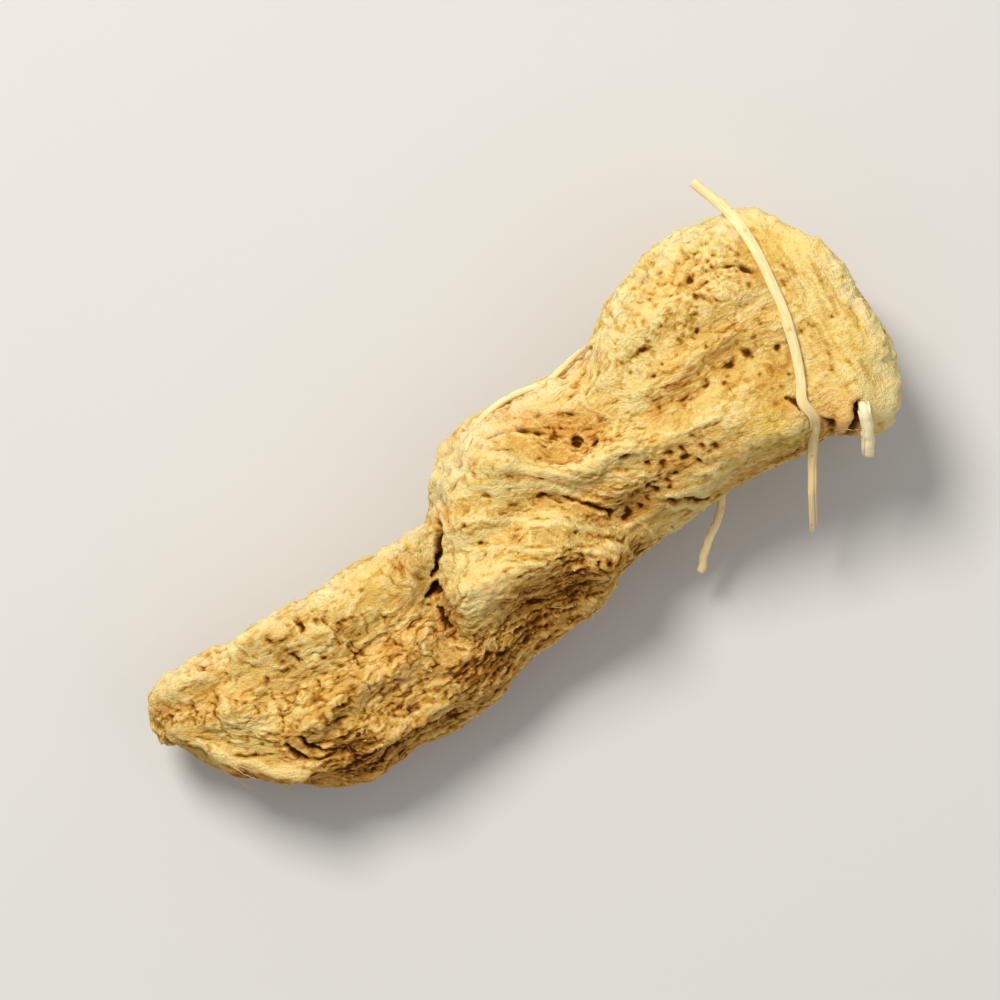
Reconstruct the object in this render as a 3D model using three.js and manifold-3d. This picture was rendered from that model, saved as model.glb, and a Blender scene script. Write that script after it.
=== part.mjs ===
// A chopped, dried finger of ginger root: a crumpled tail, a waist and a broad head, grown as one piece.
// Sizes are in millimetres. +Z is up, +X runs from the tail to the head, and the shoulder is towards +Y.
// The piece lies on two worn patches of its underside, one below the tail and one below the head.
import * as THREE from "three";
import { ImprovedNoise } from "three/addons/math/ImprovedNoise.js";
import { mergeVertices } from "three/addons/utils/BufferGeometryUtils.js";
import Module from "manifold-3d";

// The outline of the piece from above, from the tail tip round by the shoulder.
const OUTLINE = [
  [-9.14, -0.45], [-9.0, -0.05], [-8.55, 0.24], [-7.9, 0.22], [-7.1, 0.02], [-5.7, 0.12], [-3.5, 0.4],
  [-1.75, 0.55], [-1.48, 1.05], [-0.95, 1.52], [-0.3, 1.88], [0.4, 1.98], [1.6, 1.9], [2.5, 1.9],
  [2.95, 2.15], [3.3, 2.58], [3.8, 2.95], [4.7, 3.25], [5.5, 3.5], [6.7, 3.4], [7.45, 3.2],
  [8.0, 2.55], [8.38, 1.4], [8.55, 0.2], [8.44, -0.95], [8.2, -1.75], [7.85, -2.2], [7.5, -2.2],
  [7.12, -1.85], [6.4, -1.72], [5.5, -1.68], [4.0, -1.74], [2.8, -1.9], [1.9, -2.12], [1.4, -2.5],
  [0.95, -2.9], [-1.2, -3.1], [-2.9, -3.48], [-4.3, -3.7], [-5.5, -3.76], [-6.7, -3.22], [-7.75, -2.3],
  [-8.5, -1.3], [-8.95, -0.85],
];

// Sections along X: the middle line's y, the heights of the crest and the keel, how much the top falls per
// millimetre towards +Y (left) and -Y (right), and how far in from the outline each of the edges is rounded.
const SECTIONS = [
  { x: -8.9, y: -0.2, crest: 1.9, keel: 0.9, fallLeft: 0.1, fallRight: 0.2, edgeLeft: 0.6, edgeRight: 0.6 },
  { x: -8.0, y: -0.8, crest: 2.75, keel: 0.3, fallLeft: 0.0, fallRight: 0.25, edgeLeft: 0.45, edgeRight: 0.6 },
  { x: -6.5, y: -1.5, crest: 3.2, keel: -0.1, fallLeft: -0.05, fallRight: 0.3, edgeLeft: 0.25, edgeRight: 0.7 },
  { x: -4.5, y: -1.6, crest: 3.3, keel: -0.25, fallLeft: -0.05, fallRight: 0.3, edgeLeft: 0.25, edgeRight: 1.2 },
  { x: -2.5, y: -1.3, crest: 3.3, keel: -0.05, fallLeft: 0.0, fallRight: 0.35, edgeLeft: 0.28, edgeRight: 1.5 },
  { x: -1.2, y: -0.9, crest: 3.4, keel: 0.2, fallLeft: 0.1, fallRight: 0.35, edgeLeft: 0.8, edgeRight: 1.5 },
  { x: 0.2, y: -0.45, crest: 3.6, keel: 0.5, fallLeft: 0.15, fallRight: 0.4, edgeLeft: 1.0, edgeRight: 1.3 },
  { x: 2.0, y: -0.1, crest: 3.5, keel: 0.7, fallLeft: 0.15, fallRight: 0.35, edgeLeft: 1.0, edgeRight: 0.7 },
  { x: 3.5, y: 0.5, crest: 3.8, keel: 0.4, fallLeft: 0.12, fallRight: 0.25, edgeLeft: 0.65, edgeRight: 0.6 },
  { x: 5.0, y: 0.9, crest: 4.1, keel: -0.1, fallLeft: 0.14, fallRight: 0.2, edgeLeft: 0.5, edgeRight: 0.55 },
  { x: 6.5, y: 0.8, crest: 4.2, keel: -0.18, fallLeft: 0.16, fallRight: 0.2, edgeLeft: 0.45, edgeRight: 0.5 },
  { x: 7.8, y: 0.5, crest: 4.0, keel: 0.05, fallLeft: 0.14, fallRight: 0.18, edgeLeft: 0.45, edgeRight: 0.45 },
  { x: 8.7, y: 0.2, crest: 3.75, keel: 0.2, fallLeft: 0.12, fallRight: 0.15, edgeLeft: 0.45, edgeRight: 0.45 },
];
const ROUNDNESS = 2.3; // power of the rounded edge: 2 is an ellipse, more is squarer
const TUCK = 0.7; // how far the sides draw in below their widest level

// The head stands over the tail at a ledge, whose edge is this line from the +Y side.
const LEDGE = {
  line: [[-1.4, 0.7], [-1.6, 0.1], [-2.2, -0.9], [-2.3, -2.0]],
  height: 0.3,
  run: 0.3,
  fadesFrom: -0.7,
  fadesTo: -1.8,
};

// Folds of the top, each a route in plan with a half width. A positive height stands up.
const FOLDS = [
  {
    name: "shoulder fold",
    width: 0.28,
    height: -0.46,
    route: [[0.45, 2.0], [0.85, 1.45], [1.3, 1.1], [1.85, 0.65]],
  },
  {
    name: "long fold",
    width: 0.26,
    height: -0.3,
    route: [[1.85, 0.65], [2.6, 0.65], [3.6, 0.4], [4.8, 0.45], [5.9, 0.65]],
  },
  {
    name: "slanting fold",
    width: 0.25,
    height: -0.34,
    route: [[-0.9, 0.75], [0.6, -0.05], [1.1, -0.36], [1.9, -1.1]],
  },
  {
    name: "crack",
    width: 0.2,
    height: -0.55,
    route: [[-1.45, 0.65], [-1.6, 0.2], [-2.0, -0.45], [-2.3, -0.85], [-2.32, -1.6]],
  },
  {
    name: "lower fold",
    width: 0.22,
    height: -0.22,
    route: [[-1.5, -0.7], [-0.5, -0.62], [0.7, -0.9], [1.9, -1.35]],
  },
  {
    name: "node ring",
    width: 0.24,
    height: -0.26,
    route: [[2.1, -1.2], [2.8, -1.05], [3.2, -0.75], [4.4, -0.8]],
  },
  {
    name: "tail seam",
    width: 0.18,
    height: -0.28,
    route: [[-9.0, -0.6], [-8.0, -0.55], [-7.5, -0.7], [-6.9, -0.45], [-6.2, -0.35]],
  },
  {
    name: "furrow inside the lip",
    width: 0.24,
    height: -0.34,
    route: [[-7.9, -1.0], [-7.1, -2.0], [-6.3, -2.6], [-5.2, -3.1]],
  },
  { name: "gash", width: 0.17, height: -0.34, route: [[-5.05, 0.1], [-5.05, -0.55]] },
  {
    name: "flank furrow",
    width: 0.3,
    height: -0.34,
    route: [[-4.2, -2.35], [-2.6, -2.3], [-1.0, -2.15], [0.6, -2.25]],
  },
  {
    name: "first crumple",
    width: 0.22,
    height: -0.24,
    route: [[-6.6, -0.9], [-5.9, -1.6], [-5.2, -1.3], [-4.4, -1.9], [-3.6, -1.2]],
  },
  {
    name: "second crumple",
    width: 0.22,
    height: -0.24,
    route: [[-5.9, -2.4], [-4.7, -2.2], [-3.9, -2.6], [-3.1, -1.8], [-2.4, -1.9]],
  },
  {
    name: "third crumple",
    width: 0.2,
    height: -0.2,
    route: [[-4.6, -0.3], [-3.9, -0.75], [-3.3, -0.5], [-2.8, -1.1]],
  },
  { name: "shoulder furrow", width: 0.2, height: -0.22, route: [[2.3, 1.64], [3.1, 2.2], [3.6, 2.75]] },
  { name: "furrow in the head", width: 0.25, height: -0.26, route: [[7.2, 2.7], [7.3, 1.2], [7.0, -0.6]] },
  {
    name: "lip",
    width: 0.32,
    height: 0.24,
    route: [[-8.4, -1.2], [-7.5, -2.3], [-6.6, -2.95], [-5.4, -3.5]],
  },
  { name: "tail edge", width: 0.3, height: 0.14, route: [[-6.9, -0.1], [-4.5, 0.1], [-1.9, 0.35]] },
  {
    name: "middle ridge",
    width: 0.4,
    height: 0.26,
    route: [[-1.2, 0.15], [0.1, 0.6], [1.2, 0.25], [2.4, 0.15]],
  },
  {
    name: "lower ridge",
    width: 0.4,
    height: 0.2,
    route: [[-1.7, -1.3], [-0.6, -1.15], [0.5, -1.45], [1.6, -1.65]],
  },
  { name: "upper lobe", width: 0.9, height: 0.16, route: [[2.6, 1.35], [4.2, 2.1], [6.3, 2.0]] },
  { name: "lower lobe", width: 0.6, height: 0.22, route: [[3.2, -0.3], [4.8, -0.5], [6.2, -0.6]] },
  { name: "rim of the head", width: 0.5, height: 0.24, route: [[7.7, 2.8], [8.0, 1.2], [7.75, -1.3]] },
  { name: "shoulder knob", width: 0.5, height: 0.3, route: [[-0.8, 1.0], [-0.1, 1.3]] },
  { name: "tail knob", width: 0.4, height: 0.2, route: [[-8.3, -0.1], [-7.8, -0.15]] },
  { name: "bud", width: 0.3, height: 0.36, route: [[1.3, -1.95], [1.4, -2.1]] },
];

// Shrunken skin: wrinkles along the piece, which turn across it on the head, and a crumple at both ends.
const WRINKLE = { depth: 0.46, perLength: 0.26, perWidth: 1.25 };
const CRUMPLE = { depth: 0.34, scale: 0.85, elsewhere: 0.35 };

// Loose fibres, each a route of points. A point of two numbers lies on the top, one of three is in the air.
const FIBRE_SIDES = 6;
const FIBRES = [
  {
    name: "strand across the head",
    radius: 0.12,
    route: [
      [6.55, 4.3, 3.1], [6.75, 3.8, 3.2], [6.9, 3.2], [6.95, 2.3], [6.9, 1.2], [6.78, 0.4], [6.55, -0.4],
      [6.38, -0.85], [6.45, -1.25], [6.3, -1.6], [6.0, -2.1, 3.1], [5.75, -2.6, 2.8], [5.55, -3.1, 2.3],
      [5.42, -3.4, 1.9],
    ],
  },
  {
    name: "torn stub",
    radius: 0.14,
    route: [[7.46, -1.2], [7.42, -1.6], [7.3, -2.0, 3.5], [7.12, -2.45, 3.3]],
  },
  {
    name: "fibre below",
    radius: 0.09,
    route: [[4.4, -1.3, 2.1], [3.9, -2.1, 1.9], [3.35, -2.6, 1.5], [2.95, -3.08, 1.1]],
  },
  {
    name: "fibre at the waist",
    radius: 0.08,
    route: [[-0.3, 1.5], [0.3, 1.95, 2.7], [1.1, 2.08, 2.7], [1.9, 2.02, 2.7], [2.6, 2.2, 2.8], [3.2, 2.3]],
  },
];

// Fineness of the surface: points round a section, rings along the middle, and rings over each end.
const AROUND = 54;
const RINGS = 62;
const TAIL_RINGS = 7;
const HEAD_RINGS = 10;
const TAIL_CENTRE = -7.5;
const HEAD_CENTRE = 6.9;
const TOP_SHARE = 0.42; // crowds the points towards the top, where the relief is
const REACH = 7; // longer than any ray from the middle line to the surface
const STEP = 0.2;
const HALVINGS = 12;
const EASE = 0.4; // how much each point is drawn to its neighbours, which takes the jags off steep folds

const noise = new ImprovedNoise();
const { clamp, lerp, smoothstep } = THREE.MathUtils;

const sectionKeys = Object.keys(SECTIONS[0]).filter((key) => key !== "x");
const sectionCurve = new THREE.CubicInterpolant(
  SECTIONS.map((section) => section.x),
  SECTIONS.flatMap((section) => sectionKeys.map((key) => section[key])),
  sectionKeys.length,
);

function sectionAt(x) {
  const values = sectionCurve.evaluate(clamp(x, SECTIONS[0].x, SECTIONS.at(-1).x));
  return Object.fromEntries(sectionKeys.map((key, i) => [key, values[i]]));
}

// The straight pieces of a smooth curve through the points.
function smoothRoute(points, closed, spacing) {
  const places = points.map(([x, y]) => new THREE.Vector3(x, y, 0));
  const curve = new THREE.CatmullRomCurve3(places, closed, "centripetal");
  const spots = curve.getSpacedPoints(Math.ceil(curve.getLength() / spacing));
  return spots.slice(1).map((spot, i) => new THREE.Line3(spots[i], spot));
}

const closest = new THREE.Vector3();

function distanceToRoute(place, route) {
  return Math.min(...route.map((line) => line.closestPointToPoint(place, true, closest).distanceTo(place)));
}

const outline = smoothRoute(OUTLINE, true, 0.25);
const folds = FOLDS.map((fold) => ({ ...fold, lines: smoothRoute(fold.route, false, 0.3) }));

function isInsideOutline({ x, y }) {
  const crossed = outline.filter(({ start, end }) => {
    const isBeside = start.y > y !== end.y > y;
    return isBeside && x < start.x + ((end.x - start.x) * (y - start.y)) / (end.y - start.y);
  });
  return crossed.length % 2 === 1;
}

function ledgeRise({ x, y }) {
  const next = LEDGE.line.findIndex((point) => point[1] < y);
  const upper = LEDGE.line.at(next < 1 ? next : next - 1);
  const lower = LEDGE.line.at(next);
  const share = upper === lower ? 0 : (upper[1] - y) / (upper[1] - lower[1]);
  const edge = lerp(upper[0], lower[0], share);
  const step = smoothstep(x, edge - 0.1, edge + LEDGE.run);
  const slope = smoothstep(x, edge, edge + 3);
  return LEDGE.height * lerp(step, slope, smoothstep(-y, -LEDGE.fadesFrom, -LEDGE.fadesTo));
}

// For a place in plan: how far it is in from the outline, and how far the top stands above its plain sweep.
function planAt(x, y) {
  const place = new THREE.Vector3(x, y, 0);
  const inset = distanceToRoute(place, outline) * (isInsideOutline(place) ? 1 : -1);
  const rises = folds.map(({ lines, width, height }) => {
    const share = Math.min(distanceToRoute(place, lines) / (2 * width), 1);
    return height * (1 - share * share) ** 2;
  });
  return { inset, rise: ledgeRise(place) + rises.reduce((sum, rise) => sum + rise, 0) };
}

// The plan is worked out once on a fine grid and read from it, which is quicker than afresh at each point.
const GRID = 0.08;
const GRID_X = { from: -10.4, count: 258 };
const GRID_Y = { from: -5.4, count: 134 };
const planGrid = Array.from({ length: GRID_X.count * GRID_Y.count }, (_, i) =>
  planAt(GRID_X.from + (i % GRID_X.count) * GRID, GRID_Y.from + Math.floor(i / GRID_X.count) * GRID),
);

function readPlan(x, y) {
  const column = clamp((x - GRID_X.from) / GRID, 0, GRID_X.count - 1.001);
  const row = clamp((y - GRID_Y.from) / GRID, 0, GRID_Y.count - 1.001);
  const corner = Math.floor(row) * GRID_X.count + Math.floor(column);
  const blend = (key) => {
    const [a, b] = [planGrid[corner], planGrid[corner + 1]];
    const [c, d] = [planGrid[corner + GRID_X.count], planGrid[corner + GRID_X.count + 1]];
    return lerp(lerp(a[key], b[key], column % 1), lerp(c[key], d[key], column % 1), row % 1);
  };
  return { inset: blend("inset"), rise: blend("rise") };
}

function isOutside(x, y, z) {
  const section = sectionAt(x);
  const { inset, rise } = readPlan(x, y);
  const side = y - section.y;
  const fall = side > 0 ? section.fallLeft * side : -section.fallRight * side;
  const half = (section.crest - fall + rise - section.keel) / 2;
  const level = (z - section.keel - half) / half;
  const tucked = inset - (level < 0 ? TUCK * level * level : 0);
  const rounding = lerp(section.edgeRight, section.edgeLeft, smoothstep(side, -0.6, 0.6));
  const edge = clamp(1 - tucked / rounding, 0, 3);
  return edge ** ROUNDNESS + Math.abs(level) ** ROUNDNESS > 1;
}

function wrinkles({ x, y, z }) {
  const { depth, perLength, perWidth } = WRINKLE;
  const along = noise.noise(x * perLength, y * perWidth, z * perWidth);
  const across = noise.noise(x * perWidth, y * perLength, z * perLength + 5);
  const onTail = smoothstep(x, -9, -7.6) * (1 - smoothstep(x, -2.4, -0.8));
  const onEnd = smoothstep(x, 7.4, 8.2);
  const crumple = noise.noise(x * CRUMPLE.scale + 9, y * CRUMPLE.scale, z * CRUMPLE.scale + 4);
  const wrinkle = depth * lerp(along, across, smoothstep(x, 6, 7.4));
  return wrinkle + CRUMPLE.depth * crumple * lerp(CRUMPLE.elsewhere, 1, onTail + onEnd);
}

// How far a ray from inside the piece goes to its surface, which the wrinkles move out or in.
function surfaceDistance({ from, direction }) {
  const at = (distance) => from.clone().addScaledVector(direction, distance);
  let outer = STEP;
  while (outer < REACH && !isOutside(...at(outer))) outer += STEP;
  let inner = outer - STEP;
  for (let i = 0; i < HALVINGS; i++) {
    const middle = (inner + outer) / 2;
    if (isOutside(...at(middle))) outer = middle;
    else inner = middle;
  }
  return inner + wrinkles(at(inner));
}

function middleOf(x) {
  const section = sectionAt(x);
  return new THREE.Vector3(x, section.y, (section.crest + section.keel) / 2);
}

// One ring of rays from the middle line at x, which lean towards an end by a tilt, zero being straight out.
function ringAt(x, tilt) {
  return Array.from({ length: AROUND }, (_, i) => {
    const turn = (2 * Math.PI * i) / AROUND;
    const angle = turn + TOP_SHARE * Math.cos(turn);
    const out = new THREE.Vector3(0, Math.cos(angle), Math.sin(angle)).multiplyScalar(Math.cos(tilt));
    return { from: middleOf(x), direction: out.setX(Math.sin(tilt)) };
  });
}

function easedDistances(rings) {
  const distances = rings.map((ring) => ring.map(surfaceDistance));
  return distances.map((ring, j) =>
    ring.map((own, i) => {
      const beside = ring[(i + 1) % AROUND] + ring[(i + AROUND - 1) % AROUND];
      const along = (distances[j - 1] ?? ring)[i] + (distances[j + 1] ?? ring)[i];
      return lerp(own, (beside + along) / 4, EASE);
    }),
  );
}

// The body's surface: rings of points joined by quads, split along the shorter diagonal, and two fans.
function rootGeometry() {
  const quarter = Math.PI / 2;
  const rings = [];
  for (let i = 1; i <= TAIL_RINGS; i++) rings.push(ringAt(TAIL_CENTRE, (i / (TAIL_RINGS + 1) - 1) * quarter));
  for (let i = 0; i < RINGS; i++) rings.push(ringAt(lerp(TAIL_CENTRE, HEAD_CENTRE, i / (RINGS - 1)), 0));
  for (let i = 1; i <= HEAD_RINGS; i++) rings.push(ringAt(HEAD_CENTRE, (i / (HEAD_RINGS + 1)) * quarter));
  const tips = [
    { from: middleOf(TAIL_CENTRE), direction: new THREE.Vector3(-1, 0, 0) },
    { from: middleOf(HEAD_CENTRE), direction: new THREE.Vector3(1, 0, 0) },
  ];
  const rays = [...rings.flat(), ...tips];
  const distances = [...easedDistances(rings).flat(), ...tips.map(surfaceDistance)];
  const points = rays.map(({ from, direction }, i) => from.clone().addScaledVector(direction, distances[i]));
  const index = [];
  const last = rings.length - 1;
  for (let i = 0; i < AROUND; i++) {
    const next = (i + 1) % AROUND;
    index.push(points.length - 2, next, i);
    index.push(points.length - 1, last * AROUND + i, last * AROUND + next);
    for (let ring = 0; ring < last; ring++) {
      const [a, b] = [ring * AROUND + i, ring * AROUND + next];
      const [c, d] = [b + AROUND, a + AROUND];
      if (points[a].distanceTo(points[c]) < points[b].distanceTo(points[d])) index.push(a, b, c, a, c, d);
      else index.push(a, b, d, b, c, d);
    }
  }
  return new THREE.BufferGeometry().setFromPoints(points).setIndex(index);
}

// A fibre's point in space: one that lies on the top is dropped onto it, and sinks in by part of its radius.
function fibrePoint([x, y, z], radius) {
  if (z !== undefined) return new THREE.Vector3(x, y, z);
  const from = new THREE.Vector3(x, y, middleOf(x).z);
  const top = from.z + surfaceDistance({ from, direction: new THREE.Vector3(0, 0, 1) });
  return new THREE.Vector3(x, y, top + radius * 0.3);
}

function fibreGeometry({ route, radius }) {
  const spots = route.map((point) => fibrePoint(point, radius));
  const path = new THREE.CatmullRomCurve3(spots, false, "centripetal");
  const corners = Array.from({ length: FIBRE_SIDES }, (_, i) => {
    const angle = (2 * Math.PI * i) / FIBRE_SIDES;
    return new THREE.Vector2(radius * Math.cos(angle), radius * Math.sin(angle));
  });
  const steps = Math.ceil(path.getLength() / 0.35);
  return new THREE.ExtrudeGeometry(new THREE.Shape(corners), { extrudePath: path, steps, bevelEnabled: false });
}

const wasm = await Module();
wasm.setup();

function solidOf(geometry) {
  const bare = geometry.clone();
  for (const name of Object.keys(bare.attributes)) if (name !== "position") bare.deleteAttribute(name);
  const merged = mergeVertices(bare, 1e-4);
  return new wasm.Manifold(
    new wasm.Mesh({
      numProp: 3,
      vertProperties: merged.attributes.position.array,
      triVerts: new Uint32Array(merged.index.array),
    }),
  );
}

function geometryOf(solid) {
  const mesh = solid.getMesh();
  const geometry = new THREE.BufferGeometry();
  geometry.setAttribute("position", new THREE.BufferAttribute(mesh.vertProperties, 3));
  geometry.setIndex(new THREE.BufferAttribute(mesh.triVerts, 1));
  geometry.computeVertexNormals();
  return geometry;
}

// The ground takes off what the keel has below the resting plane, which leaves the two worn patches.
const ground = new THREE.BoxGeometry(40, 40, 10).translate(0, 0, -5);
let solid = solidOf(rootGeometry()).subtract(solidOf(ground));
for (const fibre of FIBRES) solid = solid.add(solidOf(fibreGeometry(fibre)));

const geometry = geometryOf(solid);
geometry.computeBoundingBox();
const middle = geometry.boundingBox.getCenter(new THREE.Vector3());

const driedRoot = new THREE.MeshStandardMaterial({ color: 0xd3a25f, roughness: 0.9, metalness: 0 });
const root = new THREE.Mesh(geometry, driedRoot);
root.name = "ginger_root";
root.position.set(-middle.x, -middle.y, 0);

const group = new THREE.Group();
group.add(root);
export default group;
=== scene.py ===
"""A piece of chopped, dried ginger root in close-up, seen from straight above as in the photograph."""

import math

import bpy
import numpy as np
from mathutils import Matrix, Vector
from mathutils.bvhtree import BVHTree


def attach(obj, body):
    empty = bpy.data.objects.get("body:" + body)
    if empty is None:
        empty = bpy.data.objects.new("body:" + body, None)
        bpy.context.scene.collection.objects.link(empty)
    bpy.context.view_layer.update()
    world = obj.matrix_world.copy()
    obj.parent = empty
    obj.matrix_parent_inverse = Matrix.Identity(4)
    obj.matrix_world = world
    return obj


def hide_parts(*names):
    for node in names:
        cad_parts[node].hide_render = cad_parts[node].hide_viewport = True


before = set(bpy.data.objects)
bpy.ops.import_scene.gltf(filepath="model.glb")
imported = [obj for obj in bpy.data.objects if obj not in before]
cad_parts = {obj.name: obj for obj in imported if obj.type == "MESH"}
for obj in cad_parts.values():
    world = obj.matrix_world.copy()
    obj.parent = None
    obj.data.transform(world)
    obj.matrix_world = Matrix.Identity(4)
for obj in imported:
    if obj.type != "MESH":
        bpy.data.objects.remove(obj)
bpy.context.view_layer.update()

MM = 0.001  # everything is worked out in millimetres and turned to metres when a mesh is made
# From the plan's own zero, which every route below is measured from, to the frame's.
PLAN_SHIFT = np.array([0.1393, -0.2612])
PHOTO_TURN = math.radians(27.6)  # how far the piece's length is turned up from the photograph's level

# Middle line of the piece, in the plan's own zero: x, y and z, then half the width and half the height.
MIDDLE = np.array([
    [-8.9, -0.2, 1.4, 0.6, 0.5],
    [-8.0, -0.8, 1.5, 1.2, 1.2],
    [-6.5, -1.5, 1.55, 1.7, 1.6],
    [-4.5, -1.6, 1.53, 1.9, 1.7],
    [-2.5, -1.3, 1.63, 1.8, 1.7],
    [-1.2, -0.9, 1.85, 2.1, 1.7],
    [0.2, -0.45, 2.1, 2.3, 1.7],
    [2.0, -0.1, 2.15, 2.0, 1.5],
    [3.5, 0.5, 2.15, 2.2, 1.8],
    [5.0, 0.9, 2.05, 2.6, 2.1],
    [6.5, 0.8, 2.05, 2.7, 2.2],
    [7.8, 0.5, 2.05, 2.5, 2.0],
    [8.7, 0.2, 1.95, 1.5, 1.2],
])
TAIL_CENTRE = -7.5  # the ends are fans of rays from these places on the middle line
HEAD_CENTRE = 6.9
TOP_SHARE = 0.55  # crowds the rays towards the top
AROUND = 210
RINGS = 372
TAIL_RINGS = 36
HEAD_RINGS = 52
FACET_PASSES = 9  # rounds of easing that take the solid's facets away
FOLD_PASSES = 140  # rounds that ease the solid's sharp folds
RELIEF_PASSES = {"fine_relief": 5, "broad_relief": 48}
FIBRE_MARGIN = 0.13  # how far past a loose fibre the skin is filled in from round about
FILL_ROUNDS = 400

# Lines in plan that the grain follows, each with how far across the piece it counts as lying.
GRAIN_LINES = [
    (1.7, [[-9.2, 0.2], [-7.0, 0.2], [-4.0, 0.4], [-1.8, 0.65]]),
    (0.6, [[-9.2, -0.6], [-7.0, -0.75], [-4.5, -0.85], [-2.4, -0.75]]),
    (-0.9, [[-8.6, -1.2], [-7.3, -2.2], [-6.0, -2.8], [-4.5, -2.7], [-2.2, -2.3]]),
    (2.0, [[-1.3, 1.2], [0.2, 2.0], [1.6, 1.75], [3.0, 2.2], [4.2, 3.2], [5.5, 3.7], [8.0, 3.4]]),
    (0.9, [
        [-0.2, 1.9], [0.85, 1.45], [1.85, 0.65], [2.6, 0.65], [3.6, 0.4], [4.8, 0.45], [5.9, 0.65],
        [8.8, 0.7],
    ]),
    (0.5, [
        [-0.7, 1.15], [0.3, 0.75], [1.1, 0.25], [1.9, -0.35], [2.7, -0.65], [3.6, -0.5], [5.0, -0.3],
        [8.8, -0.2],
    ]),
    (0.1, [
        [-1.4, 0.8], [-0.5, 0.57], [0.57, -0.07], [1.85, -1.07], [2.8, -1.1], [4.4, -0.9], [6.0, -0.9],
        [8.8, -0.9],
    ]),
    (-0.6, [
        [-1.8, 0.0], [-0.9, -0.35], [0.0, -0.8], [0.9, -1.3], [1.7, -1.65], [3.0, -1.7], [5.0, -1.8],
        [8.0, -1.8],
    ]),
    (-1.6, [[-1.9, -1.8], [0.0, -2.1], [1.5, -2.5], [3.0, -2.1], [5.0, -2.2], [7.5, -2.4]]),
]

# Cracks of the top that are finer than the solid's folds: half width, depth, and a route in plan.
CRACKS = [
    (0.08, 0.26, [[-1.44, 0.66], [-1.5, 0.45], [-1.64, 0.1], [-1.95, -0.35], [-2.12, -0.46]]),
    (0.12, 0.2, [[-2.1, -0.68], [-2.24, -0.8], [-2.42, -0.84]]),
    (0.06, 0.1, [[-2.31, -1.15], [-2.34, -1.4], [-2.3, -1.66]]),
    (0.06, 0.05, [[0.8, 1.46], [0.95, 1.36], [1.15, 1.16], [1.35, 1.04]]),
    (0.065, 0.12, [[1.08, -0.26], [1.35, -0.56], [1.6, -0.84], [1.8, -1.0]]),
    (0.05, 0.05, [[2.3, 1.62], [2.75, 1.85], [3.1, 2.18]]),
    (0.07, 0.1, [[2.95, -1.42], [3.3, -1.55], [3.75, -1.75]]),
    (0.07, 0.12, [[6.08, -0.6], [6.2, -0.75], [6.25, -0.95]]),
    (0.07, 0.08, [[6.56, -1.34], [6.7, -1.5], [6.74, -1.7]]),
    (0.13, 0.26, [[7.42, -1.42], [7.3, -1.6], [7.12, -1.8], [6.95, -2.0]]),
    (0.05, 0.08, [[1.1, -1.78], [1.02, -2.0], [1.15, -2.25]]),
    (0.075, 0.15, [[-6.53, -2.2], [-6.42, -2.42], [-6.28, -2.68]]),
    (0.075, 0.14, [[-6.2, -2.2], [-6.06, -2.5], [-5.84, -2.7]]),
    (0.05, 0.05, [[-7.6, -1.9], [-7.25, -2.1], [-6.85, -2.3]]),
]

# The pale lip along the lower edge of the tail.
LIP = [[-8.3, -1.3], [-7.5, -2.15], [-6.65, -2.8], [-5.9, -3.4], [-5.35, -3.55]]

# Narrow raised lines, pale along their crests: half width, rise, and a route in plan.
CRESTS = [
    (0.10, 0.09, [[-6.9, 0.02], [-5.5, 0.13], [-4.4, 0.2], [-3.2, 0.33], [-1.8, 0.42]]),
    (0.22, 0.07, LIP),
    (0.1, 0.06, [[-4.25, -1.62], [-3.95, -1.28], [-3.65, -1.2], [-3.3, -1.4]]),
    (0.13, 0.07, [[-8.7, -0.15], [-8.2, 0.1], [-7.4, 0.05]]),
    (0.08, 0.12, [[1.1, -1.66], [1.45, -1.64], [1.7, -1.85], [1.74, -2.1], [1.5, -2.36], [1.15, -2.42]]),
    (0.10, 0.06, [[-1.3, 0.75], [-1.42, 0.3], [-1.75, -0.35], [-1.95, -0.7]]),
    (0.12, 0.08, [
        [-1.1, 1.25], [0.0, 1.75], [0.9, 1.75], [1.8, 1.68], [2.6, 1.75], [3.1, 2.1], [3.5, 2.5],
    ]),
    (0.08, 0.05, [[0.2, 1.6], [0.9, 1.55], [1.9, 1.45], [2.7, 1.55]]),
    (0.16, 0.04, [[-1.1, 0.75], [-0.4, 0.72], [0.4, 0.28], [1.0, -0.1], [1.5, -0.55]]),
    (0.16, 0.03, [[-0.2, 0.95], [0.6, 0.6], [1.3, 0.15], [1.9, -0.3], [2.5, -0.6]]),
    (0.07, 0.05, [[-0.9, 0.2], [-0.1, -0.25], [0.8, -0.85], [1.5, -1.35]]),
    (0.07, 0.05, [[-1.3, -0.3], [-0.4, -0.75], [0.4, -1.25]]),
    (0.10, 0.06, [[0.9, 1.75], [1.3, 1.4], [1.75, 1.05]]),
    (0.06, 0.06, [[2.9, -1.3], [3.4, -1.42], [3.85, -1.68]]),
    (0.06, 0.06, [[2.85, -1.5], [3.25, -1.68], [3.7, -1.86]]),
    (0.12, 0.06, [[3.35, 2.4], [3.9, 2.82], [4.8, 3.1], [5.5, 3.3], [6.7, 3.2], [7.3, 2.95], [7.8, 2.4]]),
    (0.12, 0.06, [[7.8, 2.4], [8.2, 1.35], [8.38, 0.2], [8.28, -0.9], [8.0, -1.7]]),
    (0.06, 0.05, [[5.24, 2.55], [5.34, 2.72], [5.55, 2.76], [5.7, 2.6], [6.0, 2.62], [6.25, 2.5]]),
    (0.05, 0.035, [
        [5.64, 2.51], [5.55, 2.66], [5.39, 2.66], [5.3, 2.51], [5.39, 2.36], [5.55, 2.36], [5.63, 2.48],
    ]),
    (0.1, 0.06, [[6.5, -1.78], [6.85, -1.7], [7.1, -1.55], [7.26, -1.38]]),
]

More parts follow.
